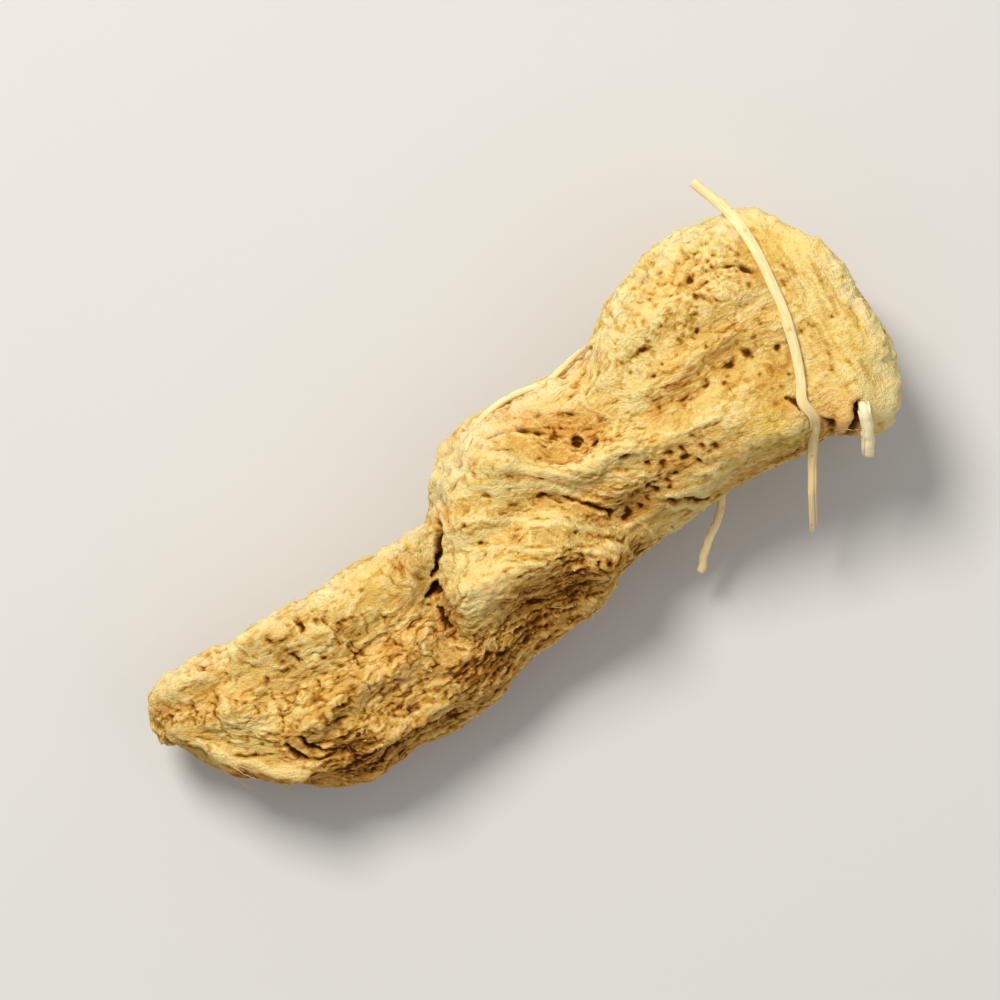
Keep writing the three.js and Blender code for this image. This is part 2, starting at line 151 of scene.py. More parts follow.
# Folds of the solid that are shallower and softer on the real piece: how far round the line they are eased,
# how much, and the line.
SOFTENED = [
    (0.4, 0.75, [[0.45, 2.0], [0.85, 1.45], [1.3, 1.1], [1.7, 0.8]]),
    (0.5, 0.95, [
        [2.3, 0.66], [3.0, 0.6], [3.6, 0.37], [4.2, 0.39], [4.8, 0.44], [5.9, 0.62], [6.3, 0.7],
    ]),
    (0.4, 0.7, [[-0.9, 0.75], [0.6, -0.05], [1.1, -0.36], [1.9, -1.1]]),
    (0.35, 0.5, [[-1.3, -0.7], [-0.5, -0.62], [0.7, -0.9], [1.9, -1.35]]),
    (0.4, 0.8, [[2.1, -1.2], [2.8, -1.05], [3.2, -0.75], [4.4, -0.8]]),
    (0.3, 0.7, [[-8.7, -0.6], [-8.0, -0.55], [-7.5, -0.7], [-6.9, -0.45], [-6.2, -0.35]]),
    (0.45, 0.95, [[-7.7, -1.2], [-7.1, -1.9], [-6.3, -2.4], [-5.2, -2.95]]),
    (0.3, 0.7, [[-5.05, 0.0], [-5.05, -0.55]]),
    (0.4, 0.6, [[-6.6, -0.9], [-5.9, -1.6], [-5.2, -1.3], [-4.4, -1.9], [-3.6, -1.2]]),
    (0.4, 0.6, [[-5.9, -2.4], [-4.7, -2.2], [-3.9, -2.6], [-3.1, -1.8], [-2.4, -1.9]]),
    (0.4, 0.6, [[-4.6, -0.3], [-3.9, -0.75], [-3.3, -0.5], [-2.8, -1.1]]),
    (0.5, 0.6, [[7.2, 2.5], [7.3, 1.2], [7.0, -0.6]]),
]

EYE_SCAR = (5.47, 2.51)  # middle of the round scar on the head's shoulder

# Pits of the top, and grains on it where the depth is below zero: x, y, radius, depth, and how dark.
PITS = [
    (1.87, 0.62, 0.14, 0.14, 1.0), (1.83, -1.05, 0.11, 0.12, 1.0), (*EYE_SCAR, 0.1, 0.04, 0.8),
    (1.4, 1.44, 0.08, 0.06, 0.8), (0.08, 0.93, 0.07, 0.05, 0.7), (-0.38, 0.95, 0.06, 0.04, 0.6),
    (0.92, 1.36, 0.1, 0.08, 0.9), (-2.94, -1.25, 0.08, 0.05, 0.6), (3.3, 1.62, 0.07, 0.05, 0.8),
    (6.3, 1.0, 0.08, 0.04, 0.5), (1.27, -1.98, 0.11, 0.09, 1.0), (1.42, -2.14, 0.08, 0.05, 0.8),
    (-0.77, -1.66, 0.09, -0.07, 0), (0.62, -1.67, 0.1, -0.07, 0), (0.96, -1.54, 0.08, -0.07, 0),
    (0.6, -2.53, 0.12, -0.09, 0), (8.56, -0.7, 0.14, -0.12, 0), (-5.1, -0.95, 0.08, -0.06, 0),
    (-0.65, -1.87, 0.08, -0.05, 0), (1.08, -2.31, 0.08, -0.05, 0), (-2.2, -2.75, 0.07, -0.05, 0),
    (-5.14, -1.51, 0.1, -0.05, 0), (-5.05, 0.15, 0.08, -0.06, 0), (-3.55, -0.65, 0.09, -0.04, 0),
    (3.35, 2.45, 0.1, -0.07, 0), (3.7, 2.75, 0.1, -0.07, 0), (4.65, 3.1, 0.1, -0.06, 0),
    (5.4, 3.3, 0.09, -0.05, 0),
]

# Short slots of the top: x, y, half width, times as long, the way it points in degrees, depth, and how dark.
SLOTS = [
    (-7.52, -0.9, 0.07, 2.2, 95, 0.05, 0.7), (-8.0, -1.56, 0.06, 2.0, 60, 0.04, 0.7),
    (-7.45, -1.98, 0.06, 2.2, -35, 0.05, 0.75), (-7.2, -2.12, 0.06, 2.0, 0, 0.05, 0.75),
    (-5.49, -0.27, 0.06, 3.5, 0, 0.04, 0.65), (-5.45, -0.72, 0.06, 3.0, 90, 0.05, 0.75),
    (-5.3, -0.48, 0.05, 2.5, 0, 0.03, 0.6), (-5.05, -0.16, 0.085, 2.6, 95, 0.1, 0.95),
    (-3.77, -2.09, 0.07, 2.2, -60, 0.06, 0.85), (-3.99, -2.7, 0.08, 1.8, 0, 0.06, 0.8),
    (-6.0, -1.5, 0.05, 4.0, -50, 0.03, 0.6), (-5.75, -1.3, 0.05, 3.0, 50, 0.03, 0.5),
    (-5.4, -1.85, 0.05, 4.0, 0, 0.03, 0.7), (-5.0, -2.05, 0.05, 5.0, -10, 0.03, 0.7),
    (-5.2, -2.3, 0.05, 4.0, -5, 0.03, 0.65), (-4.7, -1.85, 0.05, 3.0, 10, 0.03, 0.6),
    (-3.42, -0.82, 0.06, 1.3, 0, 0.04, 0.7), (-4.08, -0.67, 0.07, 2.0, 0, 0.02, 0.5),
    (-2.65, -0.1, 0.08, 2.5, 80, 0.03, 0.6), (-2.35, -1.8, 0.05, 8.0, 2, 0.03, 0.55),
    (-1.87, -2.53, 0.12, 1.3, 0, 0.05, 0.8), (-1.55, -2.64, 0.12, 1.4, 0, 0.05, 0.85),
    (-6.9, -0.38, 0.05, 3.0, 20, 0.02, 0.5), (-8.4, -0.6, 0.05, 4.0, 0, 0.03, 0.6),
    (-7.95, -0.62, 0.05, 3.0, -8, 0.03, 0.6), (0.95, 1.3, 0.1, 1.8, -55, 0.06, 0.85),
    (1.18, 1.12, 0.09, 1.6, -40, 0.06, 0.8), (1.5, 0.9, 0.06, 2.5, -45, 0.04, 0.7),
    (0.64, -0.09, 0.06, 2.4, -15, 0.05, 0.8), (-0.2, -0.56, 0.06, 2.2, -20, 0.03, 0.6),
    (-0.38, 0.5, 0.07, 1.8, -45, 0.05, 0.8), (-0.85, 0.62, 0.05, 3.0, -40, 0.04, 0.6),
    (0.05, 0.04, 0.05, 3.0, -30, 0.03, 0.6), (2.22, 0.43, 0.09, 1.5, -60, 0.05, 0.75),
    (2.5, 0.76, 0.05, 2.5, -5, 0.03, 0.6), (2.87, 0.52, 0.05, 2.5, 5, 0.03, 0.55),
    (2.6, -0.19, 0.09, 1.7, 0, 0.11, 1.0), (3.68, 0.39, 0.08, 1.3, 60, 0.02, 0.5),
    (4.33, 0.36, 0.05, 6.0, -3, 0.035, 0.65), (4.43, 0.61, 0.04, 4.0, 0, 0.02, 0.5),
    (4.78, 0.43, 0.07, 2.0, 25, 0.05, 0.85), (4.72, 0.67, 0.05, 1.4, 80, 0.03, 0.6),
    (5.43, 0.55, 0.09, 1.8, 25, 0.05, 0.8), (5.83, 0.6, 0.095, 1.8, -65, 0.06, 0.95),
    (6.42, 0.42, 0.08, 1.4, 60, 0.06, 0.9), (7.06, 0.46, 0.07, 1.2, 0, 0.03, 0.6),
    (7.31, 0.46, 0.06, 1.2, 0, 0.03, 0.5), (7.15, 1.54, 0.07, 1.2, 0, 0.03, 0.5),
    (6.49, 1.78, 0.08, 1.3, 30, 0.04, 0.7), (6.62, 2.13, 0.09, 2.2, -45, 0.09, 0.95),
    (6.3, 2.35, 0.05, 3.0, -20, 0.04, 0.8), (5.75, 2.28, 0.05, 1.5, 0, 0.03, 0.6),
    (5.1, 1.47, 0.08, 1.2, 0, 0.06, 0.9), (4.81, 1.54, 0.06, 1.2, 0, 0.04, 0.7),
    (4.68, 1.71, 0.06, 1.2, 0, 0.04, 0.7), (4.0, 1.64, 0.08, 2.4, -25, 0.07, 0.9),
    (4.64, 3.1, 0.06, 1.2, 0, 0.04, 0.7), (4.99, 2.86, 0.06, 1.3, 0, 0.04, 0.6),
    (4.6, 2.64, 0.06, 1.2, 0, 0.03, 0.6), (4.64, 1.98, 0.07, 1.0, 0, 0.05, 0.7),
    (7.5, -0.96, 0.04, 8.0, -3, 0.03, 0.5),
]

# Short dashes of the old leaf scar round the waist: x, y, and the way each one points, in degrees.
SCAR_DASHES = [
    (2.2, -1.16, 70), (2.42, -1.2, 100), (2.6, -1.12, 80), (2.84, -1.02, 105), (3.06, -0.84, 70),
    (3.22, -0.62, 80), (3.4, -0.86, 95), (3.62, -0.8, 60), (3.86, -0.88, 75), (4.1, -0.74, 90),
    (4.38, -0.8, 60), (2.95, -0.55, 120), (3.45, -0.5, 100), (3.75, -0.55, 80), (2.7, -0.85, 60),
    (3.15, -1.05, 75), (2.35, -0.95, 40), (2.0, -1.3, 50),
]

# Places where the flesh has turned: x, y, reach and how much. First rusty brown, then clear yellow, then
# pale and smooth.
RUSTY = [
    (0.9, 1.5, 0.5, 0.8), (1.6, 0.95, 0.5, 0.8), (2.2, 0.72, 0.4, 0.6), (3.6, 0.36, 0.2, 1.0),
    (4.3, 0.5, 0.5, 0.5), (5.2, 0.6, 0.5, 0.5), (2.4, -1.1, 0.4, 0.8), (3.3, -0.75, 0.45, 0.7),
    (4.1, -0.8, 0.4, 0.6), (6.9, -1.5, 0.4, 1.0), (6.1, -0.75, 0.3, 0.9), (6.05, -0.1, 0.35, 0.7),
    (-2.2, -0.9, 0.35, 0.7), (-2.25, -1.5, 0.35, 0.8), (-5.2, -2.0, 0.7, 0.6), (-3.5, 0.15, 0.5, 0.5),
    (-2.9, -0.5, 0.4, 0.5), (0.2, -1.7, 0.6, 0.6), (-0.6, -2.1, 0.7, 0.8), (1.3, -2.0, 0.25, 0.9),
    (-4.0, -2.2, 0.6, 0.6), (-6.4, -2.4, 0.5, 0.5), (-1.3, 0.5, 0.3, 0.6), (-0.3, 1.3, 0.5, 0.4),
    (-5.5, -0.2, 0.4, 0.5), (-8.3, -0.55, 0.4, 0.6), (*EYE_SCAR, 0.3, 0.6), (6.6, 2.1, 0.3, 0.8),
    (4.0, 2.2, 0.4, 0.3), (7.2, -1.3, 0.3, 0.8), (1.5, -0.8, 0.4, 0.6), (-7.2, -0.6, 0.4, 0.5),
    (-3.4, -1.5, 0.5, 0.5), (2.3, 1.9, 0.4, 0.3), (-2.55, 0.0, 0.35, 0.8), (-0.2, -0.55, 0.25, 0.5),
    (0.64, -0.09, 0.2, 0.6), (1.3, -0.55, 0.3, 0.5),
    *[(x, y, 0.15, 0.9) for x, y, _ in SCAR_DASHES],
]
YELLOW = [
    (5.5, -1.0, 0.45, 1.0), (-3.3, 0.0, 0.5, 0.6), (7.6, 2.4, 0.7, 0.5), (7.9, -0.3, 0.6, 0.5),
    (4.8, 2.9, 0.6, 0.3),
]
PALE = [
    (-1.4, -1.2, 0.55, 0.8), (-8.2, 0.0, 0.55, 0.7), (-3.0, 0.0, 0.4, 0.5), (3.2, 0.95, 0.8, 0.7),
    (4.4, 1.2, 0.8, 0.6), (-0.6, -0.2, 0.5, 0.4), (2.1, -0.3, 0.5, 0.4), (4.6, 2.6, 0.8, 0.4),
    (-7.0, -1.0, 0.5, 0.4), (-8.4, -0.85, 0.3, 0.7), (0.9, -0.4, 0.4, 0.4), (5.0, -0.5, 0.6, 0.4),
    (6.15, 1.65, 0.5, 0.7), (8.45, -0.74, 0.16, 1.0),
]

# Loose fibres: radius, flatness, how much of the radius is left at the two ends, and a route.
# A point of two numbers lies on the top, one of three is in the air.
FIBRES = {
    "strand_over_head": (0.108, 0.6, (0.9, 0.45), [
        [6.55, 4.3, 3.1], [6.75, 3.8, 3.2], [6.9, 3.2], [6.95, 2.3], [6.9, 1.2], [6.78, 0.4], [6.55, -0.4],
        [6.38, -0.85], [6.45, -1.25], [6.3, -1.6], [6.0, -2.1, 3.1], [5.75, -2.6, 2.8], [5.55, -3.1, 2.3],
        [5.42, -3.4, 1.9],
    ]),
    "torn_stub": (0.125, 0.8, (0.4, 1.0), [
        [7.47, -1.33, 3.95], [7.43, -1.6, 4.1], [7.32, -2.0, 3.85], [7.13, -2.47, 3.4],
    ]),
    "fibre_below": (0.082, 0.85, (0.5, 1.0), [
        [4.4, -1.3, 2.1], [3.9, -2.1, 1.9], [3.35, -2.6, 1.5], [2.95, -3.08, 1.1],
    ]),
    "fibre_at_waist": (0.07, 0.8, (0.5, 0.5), [
        [-0.3, 1.5], [0.3, 1.95, 2.7], [1.1, 2.08, 2.7], [1.9, 2.02, 2.7], [2.6, 2.2, 2.8], [3.2, 2.3],
    ]),
}


def smoothstep(x, low, high):
    """0 below the low value, 1 above the high one, and eased in between; the two may be swapped."""
    t = np.clip((x - low) / (high - low), 0.0, 1.0)
    return t * t * (3 - 2 * t)


class Noise:
    """Gradient noise over space, the same each time for the same seed; values run from about -1 to 1."""

    def __init__(self, seed):
        chance = np.random.default_rng(seed)
        self.order = chance.permutation(256)
        slopes = chance.normal(size=(256, 3))
        self.slopes = slopes / np.linalg.norm(slopes, axis=1)[:, None]

    def __call__(self, places):
        cell = np.floor(places).astype(np.int64)
        inside = places - cell
        ease = inside**3 * (inside * (inside * 6 - 15) + 10)
        total = np.zeros(len(places))
        for corner in np.ndindex(2, 2, 2):
            at = cell + corner
            key = self.order[(self.order[(self.order[at[:, 0] & 255] + at[:, 1]) & 255] + at[:, 2]) & 255]
            share = np.prod(np.where(corner, ease, 1 - ease), axis=1)
            total += share * np.einsum("ij,ij->i", self.slopes[key], inside - corner)
        return total * 1.8

    def layers(self, places, count, gain=0.5):
        """Several sizes of the noise on top of each other, each half as large as the one before."""
        return sum(gain**i * self(places * 2.0**i + 17.3 * i) for i in range(count))


def cells(places, centres):
    """Distance of each place to its nearest and second nearest centre, and which centre is nearest."""
    near = np.full(len(places), 1e9)
    second = np.full(len(places), 1e9)
    which = np.zeros(len(places), int)
    for i, centre in enumerate(centres):
        d = np.hypot(*(places - centre).T)
        closer = d < near
        second = np.where(closer, near, np.minimum(second, d))
        which[closer] = i
        near = np.where(closer, d, near)
    return near, second, which


def smooth_table(table, x, width=0.5):
    """Reads the other columns of a table at x, eased so that no corner shows."""
    steps = np.linspace(-2, 2, 9) * width
    weights = np.exp(-((steps / width) ** 2))
    found = [
        sum(w * np.interp(x + s, table[:, 0], table[:, c]) for w, s in zip(weights, steps)) / weights.sum()
        for c in range(1, table.shape[1])
    ]
    return np.stack(found, axis=-1)


def to_plan(places):
    """The x and y of places in the frame, measured from the plan's own zero."""
    return places[:, :2] - PLAN_SHIFT


def route_points(points, spacing):
    """Points along a smooth line through the route's points."""
    points = np.array(points, float)
    ends = np.vstack([2 * points[0] - points[1], points, 2 * points[-1] - points[-2]])
    line = []
    for a, b, c, d in zip(ends, ends[1:], ends[2:], ends[3:]):
        for t in np.linspace(0, 1, max(2, math.ceil(np.linalg.norm(c - b) / spacing)), endpoint=False):
            place = 2 * b + (c - a) * t + (2 * a - 5 * b + 4 * c - d) * t**2
            line.append(0.5 * (place + (3 * b - a - 3 * c + d) * t**3))
    line.append(points[-1])
    return np.array(line)


def route_distance(plan, line):
    """Distance in plan to a line of points, how far along the line that is, from 0 to 1, and the distance
    with a sign, above zero on the line's upper side."""
    best = np.full(len(plan), 1e9)
    where = np.zeros(len(plan))
    side = np.zeros(len(plan))
    for i, (a, b) in enumerate(zip(line[:-1], line[1:])):
        edge = b - a
        t = np.clip((plan - a) @ edge / (edge @ edge), 0, 1)
        off = plan - a - t[:, None] * edge
        d = np.hypot(*off.T)
        over = np.sign(edge[0] * off[:, 1] - edge[1] * off[:, 0])
        closer = d < best
        best = np.where(closer, d, best)
        where = np.where(closer, (i + t) / (len(line) - 1), where)
        side = np.where(closer, over * d, side)
    return best, where, side


class PlanField:
    """A value over the plan, worked out once on a grid and read from it."""

    def __init__(self, work_out, step=0.08):
        self.step = step
        self.corner = np.array([-10.5, -5.5])
        count = np.array([270, 140])
        x, y = np.meshgrid(*(np.arange(n) * step + c for n, c in zip(count, self.corner)), indexing="ij")
        self.values = work_out(np.stack([x.ravel(), y.ravel()], axis=1)).reshape(count)

    def __call__(self, plan):
        spot = (plan - self.corner) / self.step
        i, j = np.floor(spot).astype(int).T
        u, v = (spot - np.floor(spot)).T
        low = self.values[i, j] * (1 - u) + self.values[i + 1, j] * u
        high = self.values[i, j + 1] * (1 - u) + self.values[i + 1, j + 1] * u
        return low * (1 - v) + high * v

    def slope(self, plan):
        rises = [self(plan + step) - self(plan - step) for step in self.step * np.eye(2)]
        return np.stack(rises, axis=1) / (2 * self.step)


def across_grain(plan):
    """How far across the grain a place of the plan lies."""
    total = np.zeros(len(plan))
    shares = np.zeros(len(plan))
    for level, route in GRAIN_LINES:
        away, _, side = route_distance(plan, route_points(route, 0.4))
        share = 1 / (away**2 + 0.04) ** 1.5
        total += share * (level + side)
        shares += share
    return total / shares


ACROSS = PlanField(across_grain)


def grain_places(places):
    """Places measured along the grain: how far along, how far across it, and how far up."""
    plan = to_plan(places)
    return np.stack([plan[:, 0], ACROSS(plan), places[:, 2]], axis=1)


def grain_ways(places, normals):
    """The way the grain runs over the surface at each place."""
    slope = ACROSS.slope(to_plan(places))
    ways = np.c_[slope[:, 1], -slope[:, 0], np.zeros(len(places))]
    ways -= normals * np.einsum("ij,ij->i", ways, normals)[:, None]
    return ways / (np.linalg.norm(ways, axis=1)[:, None] + 1e-9)


def cad_surface():
    """The solid's surface in millimetres, for rays to find."""
    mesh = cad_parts["ginger_root"].data
    corners = np.empty(len(mesh.vertices) * 3)
    mesh.vertices.foreach_get("co", corners)
    mesh.calc_loop_triangles()
    triangles = [tuple(t.vertices) for t in mesh.loop_triangles]
    return BVHTree.FromPolygons([Vector(c) for c in corners.reshape(-1, 3) / MM], triangles)


def ray_rings():
    """Starts and directions of the rays that find the surface, ring by ring from the tail."""
    turn = np.linspace(0, 2 * np.pi, AROUND, endpoint=False)
    angle = turn + TOP_SHARE * np.cos(turn)
    tail_tilt = -np.pi / 2 * (1 - np.arange(1, TAIL_RINGS + 1) / (TAIL_RINGS + 1))
    head_tilt = np.pi / 2 * np.arange(1, HEAD_RINGS + 1) / (HEAD_RINGS + 1)
    x = np.concatenate([
        np.full(TAIL_RINGS, TAIL_CENTRE),
        np.linspace(TAIL_CENTRE, HEAD_CENTRE, RINGS),
        np.full(HEAD_RINGS, HEAD_CENTRE),
    ])
    tilt = np.concatenate([tail_tilt, np.zeros(RINGS), head_tilt])
    middle = smooth_table(MIDDLE, x, 0.3)
    starts = np.stack([x + PLAN_SHIFT[0], middle[:, 0] + PLAN_SHIFT[1], middle[:, 1]], axis=1)
    ways = np.stack([
        np.broadcast_to(np.sin(tilt)[:, None], (len(x), AROUND)),
        np.cos(tilt)[:, None] * np.cos(angle),
        np.cos(tilt)[:, None] * np.sin(angle),
    ], axis=2)
    return starts, ways


def blur_grid(grid, passes):
    """Eases a grid of ring by ray with its neighbours; rays join up round a ring."""
    for _ in range(passes):
        grid = 0.5 * grid + 0.25 * (np.roll(grid, 1, axis=1) + np.roll(grid, -1, axis=1))
        padded = np.vstack([grid[:1], grid, grid[-1:]])
        grid = 0.5 * grid + 0.25 * (padded[:-2] + padded[2:])
    return grid


def cast(tree, starts, ways):
    """How far each ray goes until it meets the solid's surface."""
    reach = np.empty(ways.shape[:2])
    for i, start in enumerate(starts):
        origin = Vector(start)
        for j, way in enumerate(ways[i]):
            reach[i, j] = tree.ray_cast(origin, Vector(way))[3]
    return reach


def beside_fibres(plan):
    """Which places of the plan lie under a loose fibre or close beside one."""
    found = np.zeros(len(plan), bool)
    for radius, _, _, route in FIBRES.values():
        line = route_points([p[:2] for p in route], 0.2)
        found |= route_distance(plan, line)[0] < radius + FIBRE_MARGIN
    return found


def filled_in(grid, hidden):
    """A grid with its hidden values filled in from round about."""
    grid = np.where(hidden, np.nan, grid)
    for _ in range(FILL_ROUNDS):
        around = np.stack([np.roll(grid, step, axis) for axis in (1, 0) for step in (1, -1)])
        known = ~np.isnan(around)
        mean = np.where(known, around, 0).sum(0) / np.maximum(known.sum(0), 1)
        grid = np.where(hidden & (known.sum(0) > 0), mean, grid)
    return grid


def softness(plan):
    """How much the solid's folds are eased at each place of the plan."""
    found = np.zeros(len(plan))
    for width, amount, route in SOFTENED:
        away = route_distance(plan, route_points(route, 0.15))[0]
        found = np.maximum(found, amount * np.exp(-((away / width) ** 2)))
    return found


def body_grid(tree):
    """The solid's surface as a fine grid of places, its facets eased away and the fused fibres taken off."""
    starts, ways = ray_rings()
    reach = cast(tree, starts, ways)
    plan = to_plan((starts[:, None] + ways * reach[..., None]).reshape(-1, 3))
    hidden = beside_fibres(plan).reshape(reach.shape) & (ways[..., 2] > 0.15)
    eased = blur_grid(filled_in(reach, hidden), FACET_PASSES)
    softer = softness(plan).reshape(reach.shape) * smoothstep(ways[..., 2], 0.1, 0.4)
    eased = lerp(eased, blur_grid(eased, FOLD_PASSES), softer)
    places = starts[:, None] + ways * eased[..., None]
    poles = []
    for i, way in ((0, (-1, 0, 0)), (-1, (1, 0, 0))):
        tip = starts[i] + np.array(way) * tree.ray_cast(Vector(starts[i]), Vector(way))[3]
        poles.append(0.5 * tip + 0.5 * places[i].mean(0))
    return places, np.array(poles)


def grid_faces(rings, around):
    """Faces of a closed skin: quads between the rings, and a fan to a pole past each end."""
    a = np.arange(rings - 1)[:, None] * around + np.arange(around)
    b = np.arange(rings - 1)[:, None] * around + np.roll(np.arange(around), -1)
    quads = np.stack([a, b, b + around, a + around], axis=2).reshape(-1, 4).tolist()
    tail, head = rings * around, rings * around + 1
    last = (rings - 1) * around
    fans = [[tail, (i + 1) % around, i] for i in range(around)]
    fans += [[head, last + i, last + (i + 1) % around] for i in range(around)]
    return quads + fans


def vertex_normals(places, faces):
    """The way each place of a mesh faces."""
    mesh = bpy.data.meshes.new("for_normals")
    mesh.from_pydata(places, [], faces)
    normals = np.empty(len(places) * 3)
    mesh.vertex_normals.foreach_get("vector", normals)
    bpy.data.meshes.remove(mesh)
    return normals.reshape(-1, 3)


noise = Noise(4)
# What the root's material reads of each place: nine shares from 0 to 1, and two reliefs in millimetres.
FACTS = ["dark", "skin", "pores", "end", "flank", "rust_and_flank_shade", "yellow", "pale", "rim", *RELIEF_PASSES]


def lerp(a, b, share):
    """From the first value at 0 to the second at 1."""
    return a + (b - a) * share


def patches(plan, spots):
    """How strongly each place belongs to any of the listed round spots."""
    found = np.zeros(len(plan))
    for x, y, reach, amount in spots:
        away = np.hypot(plan[:, 0] - x, plan[:, 1] - y) / reach
        found = np.maximum(found, amount * np.exp(-(away**2)))
    return found


def plan_noise(plan, scale, seed):
    """Two noises over the plan, which push its places about."""
    pushes = [noise.layers(np.c_[plan * scale, np.full(len(plan), seed + s)], 2) for s in (0.3, 7.3)]
    return np.stack(pushes, axis=1)


class Skin:
    """The surface on its way to a shrunken one: how far each place rises, and how dark and pale it is."""

    def __init__(self, places, normals):
        plan = to_plan(places)
        self.places, self.normals, self.plan = places, normals, plan
        self.grain = grain_places(places)
        self.ways = grain_ways(places, normals)
        middle = smooth_table(MIDDLE, plan[:, 0])
        self.top = smoothstep(places[:, 2] - middle[:, 1], -0.2, 0.7) * smoothstep(normals[:, 2], -0.1, 0.35)
        self.ground = 1 - smoothstep(places[:, 2], 0.02, 0.25)
        self.on_tail = smoothstep(plan[:, 0], -9, -8) * (1 - smoothstep(plan[:, 0], -2.3, -1.5))
        self.on_head = smoothstep(plan[:, 0], 2.6, 3.6)
        self.on_end = smoothstep(plan[:, 0], 6.6, 7.6)
        beyond = middle[:, 0] - plan[:, 1] - 1.5 * smoothstep(plan[:, 0], 1.0, 2.8)
        self.below = smoothstep(beyond, 0.5, 1.4) * (1 - self.on_end)
        outer = smoothstep(np.abs(plan[:, 1] - middle[:, 0]) / middle[:, 2], 0.7, 0.85)
        outer = np.maximum(outer, smoothstep(plan[:, 0], 7.7, 8.1))
        # the rim of the upper side and of the end, made paler: partly dry fibres, partly painted highlight
        self.rim = smoothstep(1 - normals[:, 2], 0.12, 0.42) * smoothstep(normals[:, 2], -0.05, 0.3) * outer
        self.rim *= smoothstep(places[:, 2] - middle[:, 1], 0.2, 0.7)
        far_side = smoothstep(plan[:, 1] - middle[:, 0], 0.2, 0.9)
        self.rim *= np.maximum(smoothstep(plan[:, 0], 7.5, 8.0), far_side)
        self.corner = self.rim * smoothstep(normals[:, 2], 0.05, 0.45)
        self.from_lip = np.abs(route_distance(plan, route_points(LIP, 0.3))[2])
        self.wandering = plan + 0.055 * plan_noise(plan, 3.2, 1)
        self.wobble = 0.045 * np.stack([noise(places * 7.0 + s) for s in (5.0, 25.0, 45.0)], axis=1)
        self.rise = np.zeros(len(plan))
        self.dark = np.zeros(len(plan))
        self.pale = np.zeros(len(plan))


def add_grain(skin):
    """Folds, cords and threads along the grain, which runs across the piece on its end, and a crumble."""
    bend = np.stack([noise.layers(skin.grain * 0.8 + s, 2) for s in (0.0, 31.0, 62.0)], axis=1)
    bent = skin.grain + [0.3, 0.2, 0.2] * bend
    turned = bent[:, [1, 0, 2]]

    def along_grain(scale, length, layers, offset=0.0):
        wave = np.array([scale / length, scale, scale])
        lengthwise = noise.layers(bent * wave + offset, layers)
        return lerp(lengthwise, noise.layers(turned * wave + offset, layers), skin.on_end)

    calm = (1 - 0.3 * skin.on_head) * (1 - 0.35 * skin.on_end)
    calm *= 0.35 + 0.65 * smoothstep(skin.from_lip, 0.25, 0.6)
    folds = 1 - 2.2 * np.abs(along_grain(1.5, 3.6, 2))
    cords = 1 - 2.2 * np.abs(along_grain(3.6, 5.0, 2, 9.0))
    threads = 1 - 2.2 * np.abs(along_grain(8.0, 6.0, 1, 21.0))
    lumps = noise.layers(skin.places * 1.2 + 3, 2)
    crumble = noise.layers(skin.places * 5.5 + 11, 2)
    torn = 1 - 2.0 * np.abs(noise.layers(skin.places * 3.1 + 50, 2))
    edge = 1 - np.abs(skin.normals[:, 2])
    relief = 0.03 * (folds - 0.3) + 0.017 * (cords - 0.2) + 0.012 * (threads - 0.3) + 0.035 * lumps
    skin.rise += calm * relief
    skin.rise += (0.011 + 0.026 * edge * (1 - skin.ground)) * crumble + 0.012 * (torn - 0.3)
    ragged = noise.layers(skin.places * 4.0 + 71, 3)
    skin.rise += 0.07 * skin.rim * ragged + 0.1 * skin.corner * skin.on_head
    # painted highlight, with the dry fibres' own paleness: the rim is made pale
    skin.pale = np.maximum(skin.pale, 0.9 * skin.rim * smoothstep(ragged, -0.5, 0.4))


def add_plates(skin):
    """The tail's top is shrunk into small tilted plates, longer than wide, with slits between them."""
    chance = np.random.default_rng(21)
    longer = np.array([0.8, 1.25])
    centres = np.stack([chance.uniform(-9.2, -0.8, 140), chance.uniform(-3.9, 0.8, 140)], axis=1) * longer
    bent = (skin.plan + 0.2 * plan_noise(skin.plan, 1.6, 3)) * longer
    near, second, which = cells(bent, centres)
    tilts = chance.normal(0, 0.1, (len(centres), 2))
    heights = chance.uniform(-0.03, 0.04, len(centres))
    lift = heights[which] + np.einsum("ij,ij->i", tilts[which], bent - centres[which])
    gap = 1 - smoothstep(second - near, 0.0, 0.11)
    broken = smoothstep(noise(np.c_[skin.plan * 2.3, np.full(len(skin.plan), 5.0)]), 0.0, 0.45)
    share = skin.on_tail * skin.top * smoothstep(skin.from_lip, 0.3, 0.6)
    share = share * (1 - 0.5 * smoothstep(skin.plan[:, 0], -5.0, -3.2))
    skin.rise += share * (0.6 * lift - 0.03 * gap * broken)
    # painted shade, with some brown of the flesh: the slits between the plates are darkened
    skin.dark = np.maximum(skin.dark, 0.5 * gap * broken * share)


def add_crests(skin):
    """Narrow raised lines, pale along their crests and broken here and there."""
    for width, height, route in CRESTS:
        away, where, _ = route_distance(skin.wandering, route_points(route, 0.15))
        broken = 0.75 + 0.5 * noise(np.c_[skin.plan * 2.5, np.full(len(skin.plan), width * 90)])
        ends = smoothstep(1 - np.abs(2 * where - 1), 0.0, 0.15)
        crest = np.exp(-((away / width) ** 2)) * broken * skin.top * ends
        skin.rise += height * crest
        skin.pale = np.maximum(skin.pale, crest)


